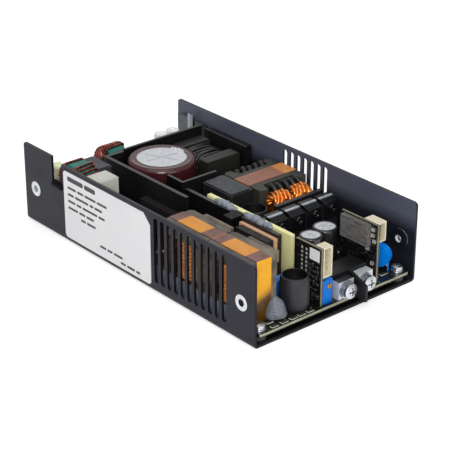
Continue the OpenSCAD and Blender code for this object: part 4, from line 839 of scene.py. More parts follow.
class SUPPLY_OT_input_stage(bpy.types.Operator):
    """Finish the input header, fuses and boxed capacitors"""
    bl_idname = "supply.input_stage"
    bl_label = "Input stage"

    def execute(self, context):
        dress(mottled("white_nylon", ink(232, 232, 226), 0.45, grain=120, spread=0.05, fine=1500, depth=0.01),
              "inlet_header")
        dress(mottled("tinned_pins", ink(206, 200, 176), 0.25, grain=700, metallic=1.0, depth=0.004),
              "inlet_pins")
        dress(self.fuse_finish(), "line_fuses")
        for node, name, tint, roughness, grain, spread, depth in (
                ("line_capacitor", "yellow_box", ink(255, 255, 214), 0.4, 150, 0.04, 0.02),
                ("filter_capacitor", "grey_box", ink(206, 206, 196), 0.46, 180, 0.06, 0.03),
                ("relay", "relay_box", tints().potting, 0.48, 200, 0.12, 0.03)):
            dress(mottled(name, tint, roughness, grain=grain, spread=spread, depth=depth), node)
        return {"FINISHED"}

    def fuse_finish(self):
        """Pale tube with bright end caps."""
        low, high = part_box("line_fuses")
        cap = (high.z - low.z) * 0.18
        tube = Finish("fuse_tube", 0.3)
        middle = tube.between(tube.place(2), low.z + cap, high.z - cap, 0.1 * MM)
        pale = tube.fade(tube.noise(150), ink(246, 246, 242), ink(255, 255, 252))
        colour = tube.mix(middle, ink(250, 251, 252), pale)
        return tube.close(colour, gloss=(400, 0.22, 0.36), relief=(1200, 0.008))


class SUPPLY_OT_ring_chokes(bpy.types.Operator):
    """Wind the two ring chokes with round wire"""
    bl_idname = "supply.ring_chokes"
    bl_label = "Ring chokes"

    turns = 12
    turn_angle = math.radians(11.8)
    turn_lean = math.radians(5)

    def execute(self, context):
        colours = tints()
        dress(mottled("ring_coat", colours.ring, 0.5, grain=420, spread=0.16, fine=1500, depth=0.05),
              "near_choke_core", "rear_choke_core")
        dress(mottled("cradle_plastic", ink(24, 24, 26), 0.42, grain=200, depth=0.02),
              "near_choke_cradle", "rear_choke_cradle")
        enamel = self.enamel(colours)
        for node, start in (("near_choke", 2), ("rear_choke", -32)):
            self.wind(node, math.radians(start), enamel)
        return {"FINISHED"}

    def enamel(self, colours):
        """Copper under clear red-brown enamel, mottled strongly from dark to bright: partly the enamel's own
        uneven tone, partly painted highlight.
        """
        coat = Finish("wire_enamel", 0.2, metallic=0.85, coat=0.6)
        # Partly painted highlight: the bright patches reach 1.6 times the enamel tint.
        colour = coat.tone(coat.noise(500), colours.enamel, 0.3, 1.6, 0.38, 0.62)
        return coat.close(colour, gloss=(900, 0.12, 0.26), relief=(2000, 0.01))

    def turn_path(self, node, inner_step):
        """One turn round the core's section, with the ring's axis upright and the turn at angle zero."""
        low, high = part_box(node + "_core")
        thick = sizes().choke_wire
        grow, bore = thick * 0.52, 4.9 * MM
        inner = bore - grow - inner_step
        outer = (high.x - low.x) / 2 + grow
        level = (high.y - low.y) / 2 + grow
        only()
        bpy.ops.mesh.primitive_plane_add(
            size=1, location=((inner + outer) / 2, 0, 0), rotation=(QUARTER, 0, 0))
        bpy.context.object.scale = (outer - inner, 2 * level, 1)
        turn = named("turn")
        edit(turn, "VERT")
        bpy.ops.mesh.delete(type="ONLY_FACE")
        bpy.ops.mesh.select_all(action="SELECT")
        bpy.ops.mesh.bevel(offset=1.1 * MM, segments=4, affect="VERTICES")
        only(turn)
        bpy.ops.object.convert(target="CURVE")
        turn = bpy.context.object
        turn.data.bevel_depth = thick / 2
        turn.data.bevel_resolution = 3
        bpy.ops.object.convert(target="MESH")
        turn = bpy.context.object
        turn.data.transform(turned(self.turn_lean, "X"))
        return turn

    def wind(self, node, start, finish):
        """Two runs of turns on opposite sides of the ring, in two lapped layers inside it."""
        low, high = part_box(node + "_core")
        patterns = [self.turn_path(node, 0.0), self.turn_path(node, sizes().choke_wire * 0.95)]
        stand = Matrix.Translation((low + high) / 2) @ turned(QUARTER, "X")
        loops = []
        for side in (0.0, math.pi):
            for i in range(self.turns):
                angle = side + start + (i - (self.turns - 1) / 2) * self.turn_angle
                loops.append(twin(patterns[i % 2], stand @ turned(angle, "Z")))
        for pattern in patterns:
            bpy.data.objects.remove(pattern)
        settle(join(node + "_wire", loops), "copper_wire", finish, angle=ROUND,
               stands_for=(node + "_winding",))


class SUPPLY_OT_plates(bpy.types.Operator):
    """Finish the cooling plates, partitions, bridge module and isolation board"""
    bl_idname = "supply.plates"
    bl_label = "Plates and bridge"

    def execute(self, context):
        colours = tints()
        # Painted highlight: the plates and partitions get a lighter grey on their upward edges.
        dress(lit_from_above("anodised_plate", colours.plate, colours.plate_edge, 0.4), "left_cooling_plate",
              "far_cooling_bar", "bridge_cooling_plate", "rectifier_cooling_plate")
        sheet = lit_from_above("partition_sheet", colours.film, shade(colours.plate_edge, 0.55), 0.34)
        dress(sheet, "rear_partition", "divider_plate")
        self.lap_partition(sheet)
        dress(self.laminate_finish(colours), "isolation_board")
        dress(mottled("soft_pad", colours.pad, 0.6, grain=350, spread=0.07, fine=1400, depth=0.04),
              "insulating_pad")
        dress(mottled("moulding", ink(38, 35, 37), 0.5, grain=300, spread=0.1, depth=0.03, specular=0.3),
              "bridge_module", "bridge_rectifier", "boost_transistors", "rectifier_transistors")
        dress(mottled("clip_black", ink(14, 14, 16), 0.5, grain=300, depth=0.02, specular=0.2), "hold_clip")
        return {"FINISHED"}

    def lap_partition(self, sheet):
        """Tongue of the rear partition that laps behind the left plate's fold."""
        low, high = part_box("rear_partition")
        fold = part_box("left_cooling_plate")[1].y
        thick, lap = 1.0 * MM, 3 * MM
        tongue = block("partition_lap", (high.x - thick, fold - lap, low.z), (high.x, low.y + SINK, high.z))
        soften(tongue, 0.1 * MM)
        settle(tongue, "black_film", sheet)

    def laminate_finish(self, colours):
        """Bare laminate: pale yellow with a faint weave and darker clouds."""
        bare = Finish("bare_laminate", 0.42)
        weave = bare.both(bare.stripes(900, "X"), bare.stripes(900, "Z"))
        cloth = bare.tone(weave, colours.laminate, 0.93, 1.03, 0.0, 1.0)
        colour = bare.mix(bare.span(bare.noise(60), 0.0, 0.25), cloth, shade(colours.laminate, 0.86))
        return bare.close(colour, gloss=(160, 0.36, 0.5), relief=(weave, 0.008))


class SUPPLY_OT_bulk_capacitor(bpy.types.Operator):
    """Finish the bulk capacitor and the output capacitors"""
    bl_idname = "supply.bulk_capacitor"
    bl_label = "Capacitors"

    def execute(self, context):
        colours = tints()
        dress(mottled("bare_can", colours.can, 0.42, grain=220, spread=0.05, fine=2400, depth=0.01,
                      metallic=0.55), "bulk_capacitor_can", "output_capacitor_cans")
        for node, name, tint, roughness in (
                ("bulk_capacitor_sleeve", "maroon_sleeve", colours.sleeve, 0.26),
                ("output_capacitor_sleeves", "black_sleeve", ink(26, 26, 29), 0.25)):
            dress(mottled(name, tint, roughness, grain=140, spread=0.12, fine=420, depth=0.03, coat=0.5),
                  node)
        return {"FINISHED"}


class SUPPLY_OT_boost_choke(bpy.types.Operator):
    """Finish the boost choke and lay its upper turns and loose wire ends"""
    bl_idname = "supply.boost_choke"
    bl_label = "Boost choke"

    turns = 11

    def execute(self, context):
        colours = tints()
        dress(mottled("dark_ferrite", shade(colours.ferrite, 0.62), 0.52, grain=500, fine=2200, depth=0.04),
              "boost_choke_core")
        enamel = mottled("black_enamel", ink(40, 39, 38), 0.24, grain=300, spread=0.2, fine=900, coat=0.4)
        dress(enamel, "boost_choke_winding")
        low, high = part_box("boost_choke_winding")
        wires = [self.turn(low, high, i) for i in range(self.turns)]
        for i, (start, end) in enumerate(((0.1, 0.42), (0.3, 0.7), (0.55, 0.9))):
            x0, x1 = (low.x + (high.x - low.x) * part for part in (start, end))
            wires.append(self.loose_end(x0, x1, low.y, high.z, 0.6 * (1 + i % 2)))
        settle(join("boost_wires", wires), "black_wire", enamel, angle=ROUND)
        return {"FINISHED"}

    def loose_end(self, x0, x1, front, top, lift):
        """One end of the wire that runs forward over the coil and down its front."""
        steps = ((x0, 15, -0.4), (x0, 11, 0.3), (x0 + MM, 7, lift), (x1 - MM, 4, -1.6), (x1, 1.6, -4.6),
                 (x1, 0.6, -8))
        return wire("wire_end", [(x, front + y * MM, top + z * MM) for x, y, z in steps], 1.3 * MM)

    def turn(self, low, high, i):
        """The upper part of one turn, which crosses the coil a little askew."""
        middle, half = (low + high) / 2, (high.y - low.y) / 2
        x = low.x + (high.x - low.x) * (i + 0.5) / self.turns
        lift, lean = (0.9, 1.7, 1.2, 2.0)[i % 4] * MM, (0.5, -0.8, 1.1)[i % 3] * MM
        rising = ((-lean, half - 0.8 * MM, -3 * MM), (-lean, half - 1.2 * MM, -0.4 * MM),
                  (-lean * 0.6, half - 3.4 * MM, lift * 0.8))
        path = [(x + a, middle.y - b, high.z + c) for a, b, c in rising] + [(x, middle.y, high.z + lift)]
        path += [(x - a, middle.y + b, high.z + c) for a, b, c in reversed(rising)]
        return wire("wire_turn", path, 1.25 * MM)


class SUPPLY_OT_transformer(bpy.types.Operator):
    """Finish the transformer and model its stranded wire and black leads"""
    bl_idname = "supply.transformer"
    bl_label = "Transformer"

    ropes, strands, leads = 4, 6, 5

    def execute(self, context):
        colours = tints()
        dress(mottled("grey_ferrite", colours.ferrite, 0.5, grain=480, spread=0.12, fine=2200, depth=0.04),
              "transformer_core")
        black = mottled("bobbin_plastic", ink(30, 30, 31), 0.4, grain=260, depth=0.02)
        dress(black, "transformer_bobbin")
        dress(self.tape_finish(colours), "transformer_tape")
        # Painted shade: the resonant choke's sides take 0.2 of the colour on its top.
        dress(lit_from_above("potting_box", shade(colours.potting, 0.2), colours.potting, 0.5, grain=240),
              "resonant_choke")
        strand = self.strand_finish(colours)
        dress(strand, "transformer_winding")
        self.lay_ropes(strand)
        self.lay_leads(black)
        return {"FINISHED"}

    def tape_finish(self, colours):
        """Clear brown tape that shows bright amber where it turns down at the far end."""
        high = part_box("transformer_tape")[1]
        tape = Finish("brown_tape", 0.32, specular=0.35)
        creases = tape.noise(180, (1, 0.25, 1))
        brown = tape.tone(creases, colours.brown_tape, 0.82, 1.14)
        amber = tape.fade(creases, ink(200, 132, 62), ink(230, 158, 84))
        far = tape.rise(tape.place(1), high.y - 8.5 * MM, high.y - 6.5 * MM)
        return tape.close(tape.mix(far, brown, amber), gloss=(300, 0.2, 0.38), relief=(creases, 0.06))

    def strand_finish(self, colours):
        """Bright strands lying side by side, with dark and bright streaks along the lay: partly the copper's
        own uneven tone, partly painted shade and painted highlight.
        """
        strand = Finish("copper_strands", 0.2, metallic=0.9, coat=0.4)
        lay = strand.noise(300, (1, 0.6, 1))
        # Partly painted shade and painted highlight: the streaks run from 0.35 to 1.25 of the copper.
        colour = strand.ramp(lay, (0.3, shade(colours.copper, 0.35)), (0.5, colours.copper),
                             (0.7, shade(colours.copper, 1.25)))
        return strand.close(colour, gloss=(700, 0.2, 0.36), relief=(lay, 0.02))

    def lay_ropes(self, strand):
        """Ropes of twisted strands that rise from the coil and turn down to the board."""
        low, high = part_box("transformer_winding")
        thick = sizes().strand
        first, pitch, twist = 2.8, 6.3, 1.1
        path = [Vector((x * MM, 0, z * MM)) for x, z in (
            (-9.6, -1.0), (-8.6, 0.9), (-6.8, 2.3), (-4.6, 2.7), (-2.6, 1.7), (-1.5, -0.6), (-1.2, -3.4),
            (-1.2, -7))]
        wires = []
        for i, lean in zip(range(self.ropes), (0.5, -0.35, 0.55, -0.3)):
            middle = Vector((high.x, low.y + (first + pitch * i) * MM, high.z))
            for k in range(self.strands):
                phase = i * twist + k * math.tau / self.strands
                wires.append(wire("strand", self.strand_path(path, middle, phase, lean), thick, sides=2))
            wires.append(wire("strand", [middle + step for step in path], thick, sides=2))
        settle(join("strand_ropes", wires), "copper_litz", strand, angle=ROUND)

    def strand_path(self, path, middle, phase, lean):
        """One strand that winds round a rope's path, with three points to each of its steps."""
        reach, fine, turn = sizes().strand * 0.98, 3, 0.2
        across = Vector((0, 1, 0))
        points = []
        for j in range(fine * (len(path) - 1) + 1):
            at = j / fine
            i = min(int(at), len(path) - 2)
            place = path[i].lerp(path[i + 1], at - i)
            up = (path[i + 1] - path[i]).normalized().cross(across)
            angle = phase + j * turn
            points.append(middle + place + across * (reach * math.cos(angle) + lean * place.z)
                          + up * reach * math.sin(angle))
        return points

    def lay_leads(self, black):
        """Black sleeved leads bent over both waists of the core."""
        low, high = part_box("transformer_core")
        thick, inward, pitch = sizes().lead_wire, 4.4 * MM, 4.0 * MM
        middle = (low.y + high.y) / 2
        wires = []
        for i, rise in zip(range(self.leads), (0.2, -0.3, 0.3, 0.0, -0.2)):
            y = middle + (i - (self.leads - 1) / 2) * pitch
            wires.append(self.lead(high.x - inward, 1, y, high.z + rise * MM, thick))
            wires.append(self.lead(low.x + inward, -1, y - 0.8 * MM, high.z - (rise + 0.4) * MM, thick * 1.1))
        settle(join("transformer_leads", wires), "black_wire", black, angle=ROUND)

    def lead(self, x, side, y, level, thick):
        """One lead that comes up at the core and bends outwards over the coil."""
        steps = ((0, 0, -6), (0.1, 0.1, -3), (0.8, 0.4, -0.6), (2.6, 1.0, 0.2), (4.6, 1.5, -1.2),
                 (5.6, 1.8, -3.6), (5.8, 1.9, -6))
        return wire("lead", [(x + side * a * MM, y + b * MM, level + c * MM) for a, b, c in steps], thick)


class SUPPLY_OT_taped_chokes(bpy.types.Operator):
    """Finish the two taped chokes"""
    bl_idname = "supply.taped_chokes"
    bl_label = "Taped chokes"

    def execute(self, context):
        colours = tints()
        dress(self.core_finish(colours), "taped_cores")
        coil = Finish("coil_wire", 0.3, metallic=0.05, coat=0.3)
        colour = coil.tone(coil.noise(420), colours.copper, 0.8, 1.3)
        dress(coil.close(colour, gloss=(800, 0.2, 0.36), relief=(2000, 0.02)), "taped_coils")
        dress(self.tape_finish(colours), "taped_bands")
        return {"FINISHED"}

    def core_finish(self, colours):
        """Ground ferrite with streaks along the cores."""
        core = Finish("brown_ferrite", 0.36)
        streaks = core.noise(200, (0.25, 1, 1), detail=5.0)
        tint = colours.brown_ferrite
        colour = core.ramp(streaks, (0.4, shade(tint, 0.35)), (0.5, tint), (0.6, shade(tint, 1.5)))
        return core.close(colour, gloss=(core.noise(300, (0.3, 1, 1)), 0.22, 0.5), relief=(streaks, 0.08))

    def tape_finish(self, colours):
        """Amber tape with purple-brown laps near both ends of each top; painted light makes the end faces
        brighter and yellower than the tops, which are painted darker as painted shade, and a slanted painted
        shadow darkens the foot of the end faces.
        """
        low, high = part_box("taped_bands")
        half, shadow_slope = (high.x - low.x) / 2, 0.38
        tape = Finish("amber_tape", 0.34, specular=0.3)
        creases = tape.noise(160, (0.4, 1, 1))
        amber = tape.tone(creases, colours.tape, 0.9, 1.06)
        # Painted light: the faces that look along the choke are painted a brighter, yellower amber.
        end = tape.fade(creases, ink(244, 170, 20), ink(254, 186, 34))
        # Painted shadow: the foot of those faces goes dark below a line that rises across the choke.
        across = tape.sum("SUBTRACT", tape.place(1), low.y)
        shadow_slant = tape.sum("SUBTRACT", tape.place(2), tape.both(across, shadow_slope))
        foot = tape.span(shadow_slant, 0.95, 0.0, low.z + 9 * MM, low.z + 14 * MM)
        end = tape.mix(foot, end, shade(colours.tape, 0.05))
        laps = tape.tone(creases, colours.old_tape, 0.8, 1.15)
        bright = tape.either(*(tape.between(tape.place(0), start + half * 0.2, start + half * 0.74, 0.5 * MM)
                               for start in (low.x, low.x + half)))
        wall = tape.rise(tape.unsigned(tape.way(0)), 0.5, 0.7)
        # Painted shade: the tops take the amber at 0.82.
        amber = tape.mix(wall, tape.dim(amber, 0.82), end)
        colour = tape.mix(tape.either(bright, wall), laps, amber)
        return tape.close(colour, gloss=(260, 0.22, 0.4), relief=(creases, 0.06))


class SUPPLY_OT_rectifier(bpy.types.Operator):
    """Finish the rectifier's spring clips and the drum chokes"""
    bl_idname = "supply.rectifier"
    bl_label = "Rectifier and drum chokes"

    clips, clip_step = 4, 11 * MM

    def execute(self, context):
        dress(self.clip_finish(), "rectifier_clips")
        dress(self.rubber_finish(), "drum_chokes")
        self.set_bosses()
        return {"FINISHED"}

    def set_bosses(self):
        """Round bosses with a dimple where the clips press on the transistors."""
        low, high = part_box("rectifier_clips")
        middle = (high.x + 0.7 * MM, (low.y + high.y) / 2, high.z - 4.6 * MM)
        boss = rod("boss", 1.9 * MM, 1.5 * MM, middle, turn=(0, QUARTER, 0))
        inset(boss, lambda place, way: way.x > FACING, 0.7 * MM)
        push(x=-0.5 * MM)
        soften(boss, 0.12 * MM)
        places = [shifted(y=(i - (self.clips - 1) / 2) * self.clip_step) for i in range(self.clips)]
        black = mottled("boss_black", ink(18, 18, 21), 0.24, grain=400, depth=0.01, coat=0.4)
        settle(scatter("clip_bosses", boss, places), "black_plastic", black)

    def clip_finish(self):
        """A painted highlight in a bright strip on the bent upper edge, and black on the faces that look into
        the supply.
        """
        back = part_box("rectifier_clips")[0].x
        clip = Finish("clip_steel", 0.3, metallic=0.2)
        up = clip.both(clip.rise(clip.way(2), 0.8, 0.95),
                       clip.between(clip.place(0), back + 2.4 * MM, back + 4.0 * MM, 0.2 * MM))
        cloud = clip.noise(500)
        faces = clip.fade(cloud, ink(14, 14, 17), ink(26, 26, 31))
        # Painted highlight: bright steel grey on the upward strip of the bend.
        edge = clip.fade(cloud, ink(150, 158, 170), ink(206, 212, 222))
        return clip.close(clip.mix(up, faces, edge), gloss=(900, 0.24, 0.38), relief=(2200, 0.008))

    def rubber_finish(self):
        """Shrunk sleeve with soft wrinkles, and painted shade that makes the hollow in its mouth near black,
        lower on the front drum.
        """
        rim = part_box("drum_chokes")[1].z
        hollow, lower = 3.6 * MM, 4.5 * MM
        rubber = Finish("shrunk_sleeve", 0.5)
        wrinkle = rubber.noise(260, (1, 1, 0.35))
        outside = rubber.fade(wrinkle, ink(24, 25, 28), ink(40, 41, 46))
        lip = rubber.span(rubber.place(0), rim, rim - lower, 45 * MM, 55 * MM)
        depth = rubber.sum("SUBTRACT", lip, rubber.place(2))
        tilt = rubber.way(2)
        # Painted shade: the hollow's floor and the upright faces down to its depth are painted near black.
        hollow_floor_shade = rubber.both(rubber.rise(tilt, 0.9, 0.97), rubber.rise(depth, 0.4 * MM, 0.8 * MM))
        inner = rubber.both(rubber.fall(tilt, 0.03, 0.06), rubber.fall(depth, hollow, hollow + 0.05 * MM))
        colour = rubber.mix(rubber.either(hollow_floor_shade, inner), outside, ink(5, 5, 7))
        return rubber.close(colour, gloss=(420, 0.4, 0.58), relief=(wrinkle, 0.12))


class SUPPLY_OT_control_board(bpy.types.Operator):
    """Finish the upright boards, headers and trimmer, and set the control board's small parts"""
    bl_idname = "supply.control_board"
    bl_label = "Control board"

    def execute(self, context):
        colours = tints()
        dress(self.mask_finish(colours), "control_board", "auxiliary_board")
        dress(mottled("ivory_nylon", colours.ivory, 0.46, grain=140, spread=0.06, fine=1500, depth=0.015),
              "control_header", "auxiliary_header")
        dress(mottled("blue_plastic", shade(colours.blue, 1.2), 0.4, grain=180, spread=0.1, fine=1400,
                      depth=0.015, specular=0.2), "trimmer_body")
        dress(mottled("brass", ink(196, 148, 84), 0.3, grain=600, spread=0.12, metallic=1.0, depth=0.006),
              "trimmer_screw")
        tin = mottled("bare_pads", ink(222, 221, 214), 0.34, grain=600, spread=0.08, depth=0.008, metallic=0.4)
        self.set_pads(tin)
        self.stick_sticker(colours)
        self.set_parts()
        header_pins("control_header", 2, 4, tin)
        return {"FINISHED"}

    def mask_finish(self, colours):
        """Black mask with faint copper runs, and a line of gold-brown laminate in the cut sides."""
        mask = Finish("upright_mask", 0.32)
        runs = mask.bricks(300, colours.upright, (0.9, 1.4, 0.6), 0.04)
        dots = mask.fall(mask.cells(760), 0.14, 0.2)
        runs = mask.mix(dots, runs, ink(140, 140, 138))
        cut = mask.fall(mask.unsigned(mask.way(1)), 0.4, 0.6)
        boxes = [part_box(node) for node in ("control_board", "auxiliary_board")]
        lines = mask.either(*(mask.between(mask.place(1), low.y + 0.35 * MM, high.y - 0.45 * MM, 0.1 * MM)
                              for low, high in boxes))
        weave = mask.fade(mask.noise(1200, (1.4, 1.4, 0.2)), ink(96, 88, 58), ink(158, 146, 96))
        colour = mask.mix(mask.both(cut, lines), runs, weave)
        return mask.close(colour, gloss=(260, 0.26, 0.42), relief=(700, 0.015))

    def set_pads(self, tin):
        """Two columns of square pads on the side that faces the label wall."""
        low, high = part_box("control_board")
        half, proud = 1.15 * MM / 2, 0.06 * MM
        columns, rows, first, pitch = (4.5, 7.4), 7, 3.0, 2.15
        pad = block("pad", (-half, -proud, -half), (half, SINK, half))
        inset(pad, lambda place, way: way.y < -FACING, 0.15 * MM, 0.04 * MM)
        places = [shifted(low.x + column * MM, low.y, high.z - (first + row * pitch) * MM)
                  for column in columns for row in range(rows)]
        settle(scatter("control_pads", pad, places), "tinned_brass", tin)

    def stick_sticker(self, colours):
        """A bare paper sticker near the upper corner."""
        low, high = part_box("control_board")
        paper = block("control_sticker", (high.x - 7.4 * MM, low.y - 0.08 * MM, high.z - 6.9 * MM),
                      (high.x - 0.9 * MM, low.y + SINK, high.z - 1.2 * MM))
        soften(paper, 0.4 * MM, 3, lambda place, way: abs(way.y) > FACING)
        white = mottled("paper", colours.label, 0.6, grain=500, spread=0.05, fine=2500, depth=0.01)
        settle(paper, "label_film", white)

    def set_parts(self):
        """Small chips in rows below the sticker; the third number of a spot is 1 where the chip stands."""
        low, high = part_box("control_board")
        spots = ((9.5, 9.5, 0), (12, 9.2, 1), (14.6, 9.6, 0), (10.2, 12, 1), (13, 12.2, 0), (15.2, 12.4, 1),
                 (9.4, 14.6, 0), (11.8, 15, 0), (14.4, 15.2, 1), (10, 17.6, 0), (12.6, 18, 1), (15, 18.2, 0),
                 (4, 19.5, 0), (6.6, 20, 1), (10.4, 21, 0), (13.6, 21.2, 0), (5.2, 23, 1), (8.4, 23.6, 0),
                 (12, 24.4, 1), (14.8, 24, 0))
        end = 0.5 * MM
        chip = block("part", (-0.8 * MM, -0.45 * MM, -0.4 * MM), (0.8 * MM, SINK, 0.4 * MM))
        for side in (-end, end):
            edit(chip)
            bpy.ops.mesh.bisect(plane_co=(side, 0, 0), plane_no=(1, 0, 0))
        dark = mottled("dark_chip", ink(34, 34, 36), 0.4, grain=900, depth=0.006)
        dull = mottled("dull_ends", ink(104, 105, 107), 0.4, grain=600, metallic=0.2, depth=0.008)
        mark_faces(chip, dark, dull, lambda place, way: abs(place.x) > end)
        soften(chip, 0.05 * MM)
        places = [shifted(low.x + x * MM, low.y, high.z - z * MM) @ turned(QUARTER * stands, "Y")
                  for x, z, stands in spots]
        settle(scatter("control_parts", chip, places), "tinned_brass", dark, dull)


class SUPPLY_OT_auxiliary_board(bpy.types.Operator):
    """Finish the soft gap pad and set the auxiliary board's contacts and pins"""
    bl_idname = "supply.auxiliary_board"
    bl_label = "Auxiliary board"

    def execute(self, context):
        fleece = Finish("soft_fleece", 0.85)
        fuzz = fleece.noise(620, (0.35, 1, 1.3), detail=6.0)
        colour = fleece.tone(fuzz, tints().fleece, 0.5, 1.7, 0.25, 0.75)
        dress(fleece.close(colour, gloss=(500, 0.75, 0.95), relief=(fuzz, 0.35)), "gap_pad")
        tin = mottled("auxiliary_tin", ink(214, 213, 206), 0.34, grain=600, metallic=0.6, depth=0.008)
        header_pins("auxiliary_header", 2, 3, tin)
        self.set_contacts(tin)
        return {"FINISHED"}

    def set_contacts(self, tin):
        """A few bare contacts beside and below the pad."""
        low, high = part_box("auxiliary_board")
        half = 0.9 * MM
        tab = block("tab", (-half, -0.7 * MM, -half), (half, SINK, half))
        inset(tab, lambda place, way: way.y < -FACING, 0.25 * MM, -0.25 * MM)
        soften(tab, 0.08 * MM)
        places = [shifted(low.x + x * MM, low.y, high.z - z * MM)
                  for x, z in ((21.6, 2.6), (21.4, 5.6), (22.5, 8.4), (18.4, 13.2), (21.5, 20))]
        settle(scatter("auxiliary_parts", tab, places), "tinned_brass", tin)


class SUPPLY_OT_terminals(bpy.types.Operator):
    """Finish the output terminals and the disc capacitors"""
    bl_idname = "supply.terminals"
    bl_label = "Terminals and discs"

    def execute(self, context):
        colours = tints()
        dress(mottled("carrier_plastic", ink(22, 22, 25), 0.46, spread=0.12, depth=0.03, specular=0.3),
              "terminal_carrier")
        dress(self.block_finish(colours), "terminal_blocks")
        dress(self.screw_finish(colours), "terminal_screws")
        dress(mottled("disc_lacquer", shade(colours.blue, 1.75), 0.3, grain=200, fine=600, depth=0.08,
                      coat=0.3), "suppressor_capacitors")
        return {"FINISHED"}

    def block_finish(self, colours):
        """Bright plating, with a dark cover on the near block's top."""
        low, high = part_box("terminal_blocks")
        middle = (low.y + high.y) / 2
        plated = Finish("plated_block", 0.36, metallic=0.35)
        plating = plated.tone(plated.noise(300), colours.zinc, 1.0, 1.2)
        near = plated.fall(plated.place(1), middle - MM, middle + MM)
        up = plated.rise(plated.way(2), 0.7, 0.9)
        colour = plated.mix(plated.both(near, up), plating, ink(40, 40, 44))
        return plated.close(colour, gloss=(700, 0.28, 0.44), relief=(2400, 0.01))

    def screw_finish(self, colours):
        """Bright plating on the heads and washers, darker round their rims."""
        screw = Finish("screw_zinc", 0.36, metallic=0.8)
        rims = screw.span(screw.unsigned(screw.way(0)), 0.85, 0.0, 0.3, 0.7)
        plating = screw.tone(screw.noise(500), colours.zinc, 0.9, 1.1)
        colour = screw.mix(rims, plating, ink(84, 90, 100))
        return screw.close(colour, gloss=(900, 0.3, 0.44), relief=(2400, 0.008))


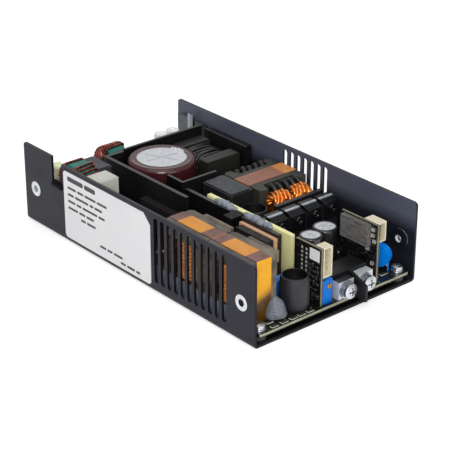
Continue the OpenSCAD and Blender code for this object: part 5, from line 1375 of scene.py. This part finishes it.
class SUPPLY_OT_adhesive(bpy.types.Operator):
    """Lay the set adhesive on the isolation board, on the bulk capacitor's rim and beside the front choke"""
    bl_idname = "supply.adhesive"
    bl_label = "Adhesive"

    board_runs = (((12, 1.5), (15, 2.1), (18.5, 2.4), (22, 2.2), (25, 1.4)),
                  ((33, 1.5), (36, 2.2), (40, 2.5), (44, 2.3), (48, 2.0), (50.5, 1.3)))
    rim_run = ((-47, 0.9), (-44.8, 1.2), (-42.6, 1.3), (-40.4, 1.2), (-38.2, 0.9))
    rim_start, rim_lean = 13.2 * MM, 0.23
    heap_x, heap_y = 78.9 * MM, -30.6 * MM
    heap_foot, heap_rings, heap_step = 5.4, 17, 0.62

    def execute(self, context):
        low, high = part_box("isolation_board")
        drops = [self.run_of_drops(run, (low.y + high.y) / 2, high.z) for run in self.board_runs]
        rim_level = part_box("bulk_capacitor_sleeve")[1].z
        drops.append(self.run_of_drops(self.rim_run, self.rim_start, rim_level, self.rim_lean))
        drops.append(self.heap((self.heap_x, self.heap_y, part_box("main_board")[1].z)))
        settle(join("set_adhesive", drops), "grey_potting", self.glue_finish(tints()), angle=ROUND)
        return {"FINISHED"}

    def glue_finish(self, colours):
        """Grey on the isolation board, darker in the heap and paler on the capacitor's rim."""
        glue = Finish("set_adhesive", 0.4)
        grey = glue.tone(glue.noise(240), colours.silicone, 0.85, 1.3)
        heap = glue.rise(glue.place(0), 68 * MM, 69 * MM)
        darker = glue.mix(heap, grey, glue.dim(grey, 0.62))
        rim = glue.fall(glue.place(0), -10 * MM, -5 * MM)
        colour = glue.mix(rim, darker, ink(208, 211, 216))
        return glue.close(colour, gloss=(300, 0.3, 0.5), relief=(500, 0.08))

    def ripple(self, piece, size, depth):
        """Uneven surface, as of something that set while it ran."""
        texture = bpy.data.textures.new("ripple", "CLOUDS")
        texture.noise_scale = size
        add_modifier(piece, "DISPLACE", texture=texture, texture_coords="LOCAL", strength=depth)

    def run_of_drops(self, run, middle, level, lean=0.0):
        """Drops that have flowed into one another on top of a board or a rim: places and radii in mm."""
        balls = []
        for i, (x, radius) in enumerate(run):
            y = middle + (lean * (x - run[0][0]) - 1.0 - 0.5 * (i % 2)) * MM
            balls.append(ball("ball", radius * MM, (x * MM, y, level - 0.5 * MM), 20, 12, (1.25, 0.95, 0.8)))
        drop = join("drop", balls)
        add_modifier(drop, "REMESH", mode="VOXEL", voxel_size=0.35 * MM)
        add_modifier(drop, "SMOOTH", factor=0.6, iterations=8)
        self.ripple(drop, 2.4 * MM, 0.7 * MM)
        return drop

    def heap(self, place):
        """Ringed heap beside the front choke, drawn up ring by ring."""
        only()
        bpy.ops.mesh.primitive_circle_add(
            vertices=30, radius=self.heap_foot * MM, fill_type="NGON", location=place)
        heap = named("heap")
        level, reach = 0.0, self.heap_foot
        for i in range(self.heap_rings):
            part = (i + 1) / self.heap_rings
            width = 5.6 * (1 - part ** 2.4) ** 0.8 * (1.06 if i % 2 else 0.93) + 0.25
            floor = place[2] + (level - 0.1) * MM
            choose(heap, "FACE", lambda spot, way: spot.z > floor and abs(way.z) > FACING)
            push(0.1 * MM, -0.04 * MM, self.heap_step * MM)
            bpy.ops.transform.resize(value=(width / reach, width / reach, 1), center_override=place)
            level, reach = level + self.heap_step, width
        add_modifier(heap, "SUBSURF", levels=1, render_levels=1)
        self.ripple(heap, 3.0 * MM, 0.9 * MM)
        return heap


class SUPPLY_PT_panel(bpy.types.Panel):
    """Lists the supply's pieces in the sidebar"""
    bl_label = "Power supply"
    bl_idname = "SUPPLY_PT_panel"
    bl_space_type = "VIEW_3D"
    bl_region_type = "UI"
    bl_category = "Supply"

    def draw(self, context):
        for step in STEPS:
            self.layout.operator(step.bl_idname)


STEPS = (
    SUPPLY_OT_stage, SUPPLY_OT_channel, SUPPLY_OT_main_board, SUPPLY_OT_input_stage, SUPPLY_OT_ring_chokes,
    SUPPLY_OT_plates, SUPPLY_OT_bulk_capacitor, SUPPLY_OT_boost_choke, SUPPLY_OT_transformer,
    SUPPLY_OT_taped_chokes, SUPPLY_OT_rectifier, SUPPLY_OT_control_board, SUPPLY_OT_auxiliary_board,
    SUPPLY_OT_terminals, SUPPLY_OT_adhesive,
)
GROUPS = (SupplyTints, SupplySizes, SupplyStage)


def register():
    for group in GROUPS + STEPS + (SUPPLY_PT_panel,):
        bpy.utils.register_class(group)
    bpy.types.Scene.supply_tints = bpy.props.PointerProperty(type=SupplyTints)
    bpy.types.Scene.supply_sizes = bpy.props.PointerProperty(type=SupplySizes)
    bpy.types.Scene.supply_stage = bpy.props.PointerProperty(type=SupplyStage)


def unregister():
    for name in ("supply_tints", "supply_sizes", "supply_stage"):
        delattr(bpy.types.Scene, name)
    for group in reversed(GROUPS + STEPS + (SUPPLY_PT_panel,)):
        bpy.utils.unregister_class(group)


def main():
    register()
    for step in STEPS:
        family, name = step.bl_idname.split(".")
        getattr(getattr(bpy.ops, family), name)()
    only()


if __name__ == "__main__":
    main()
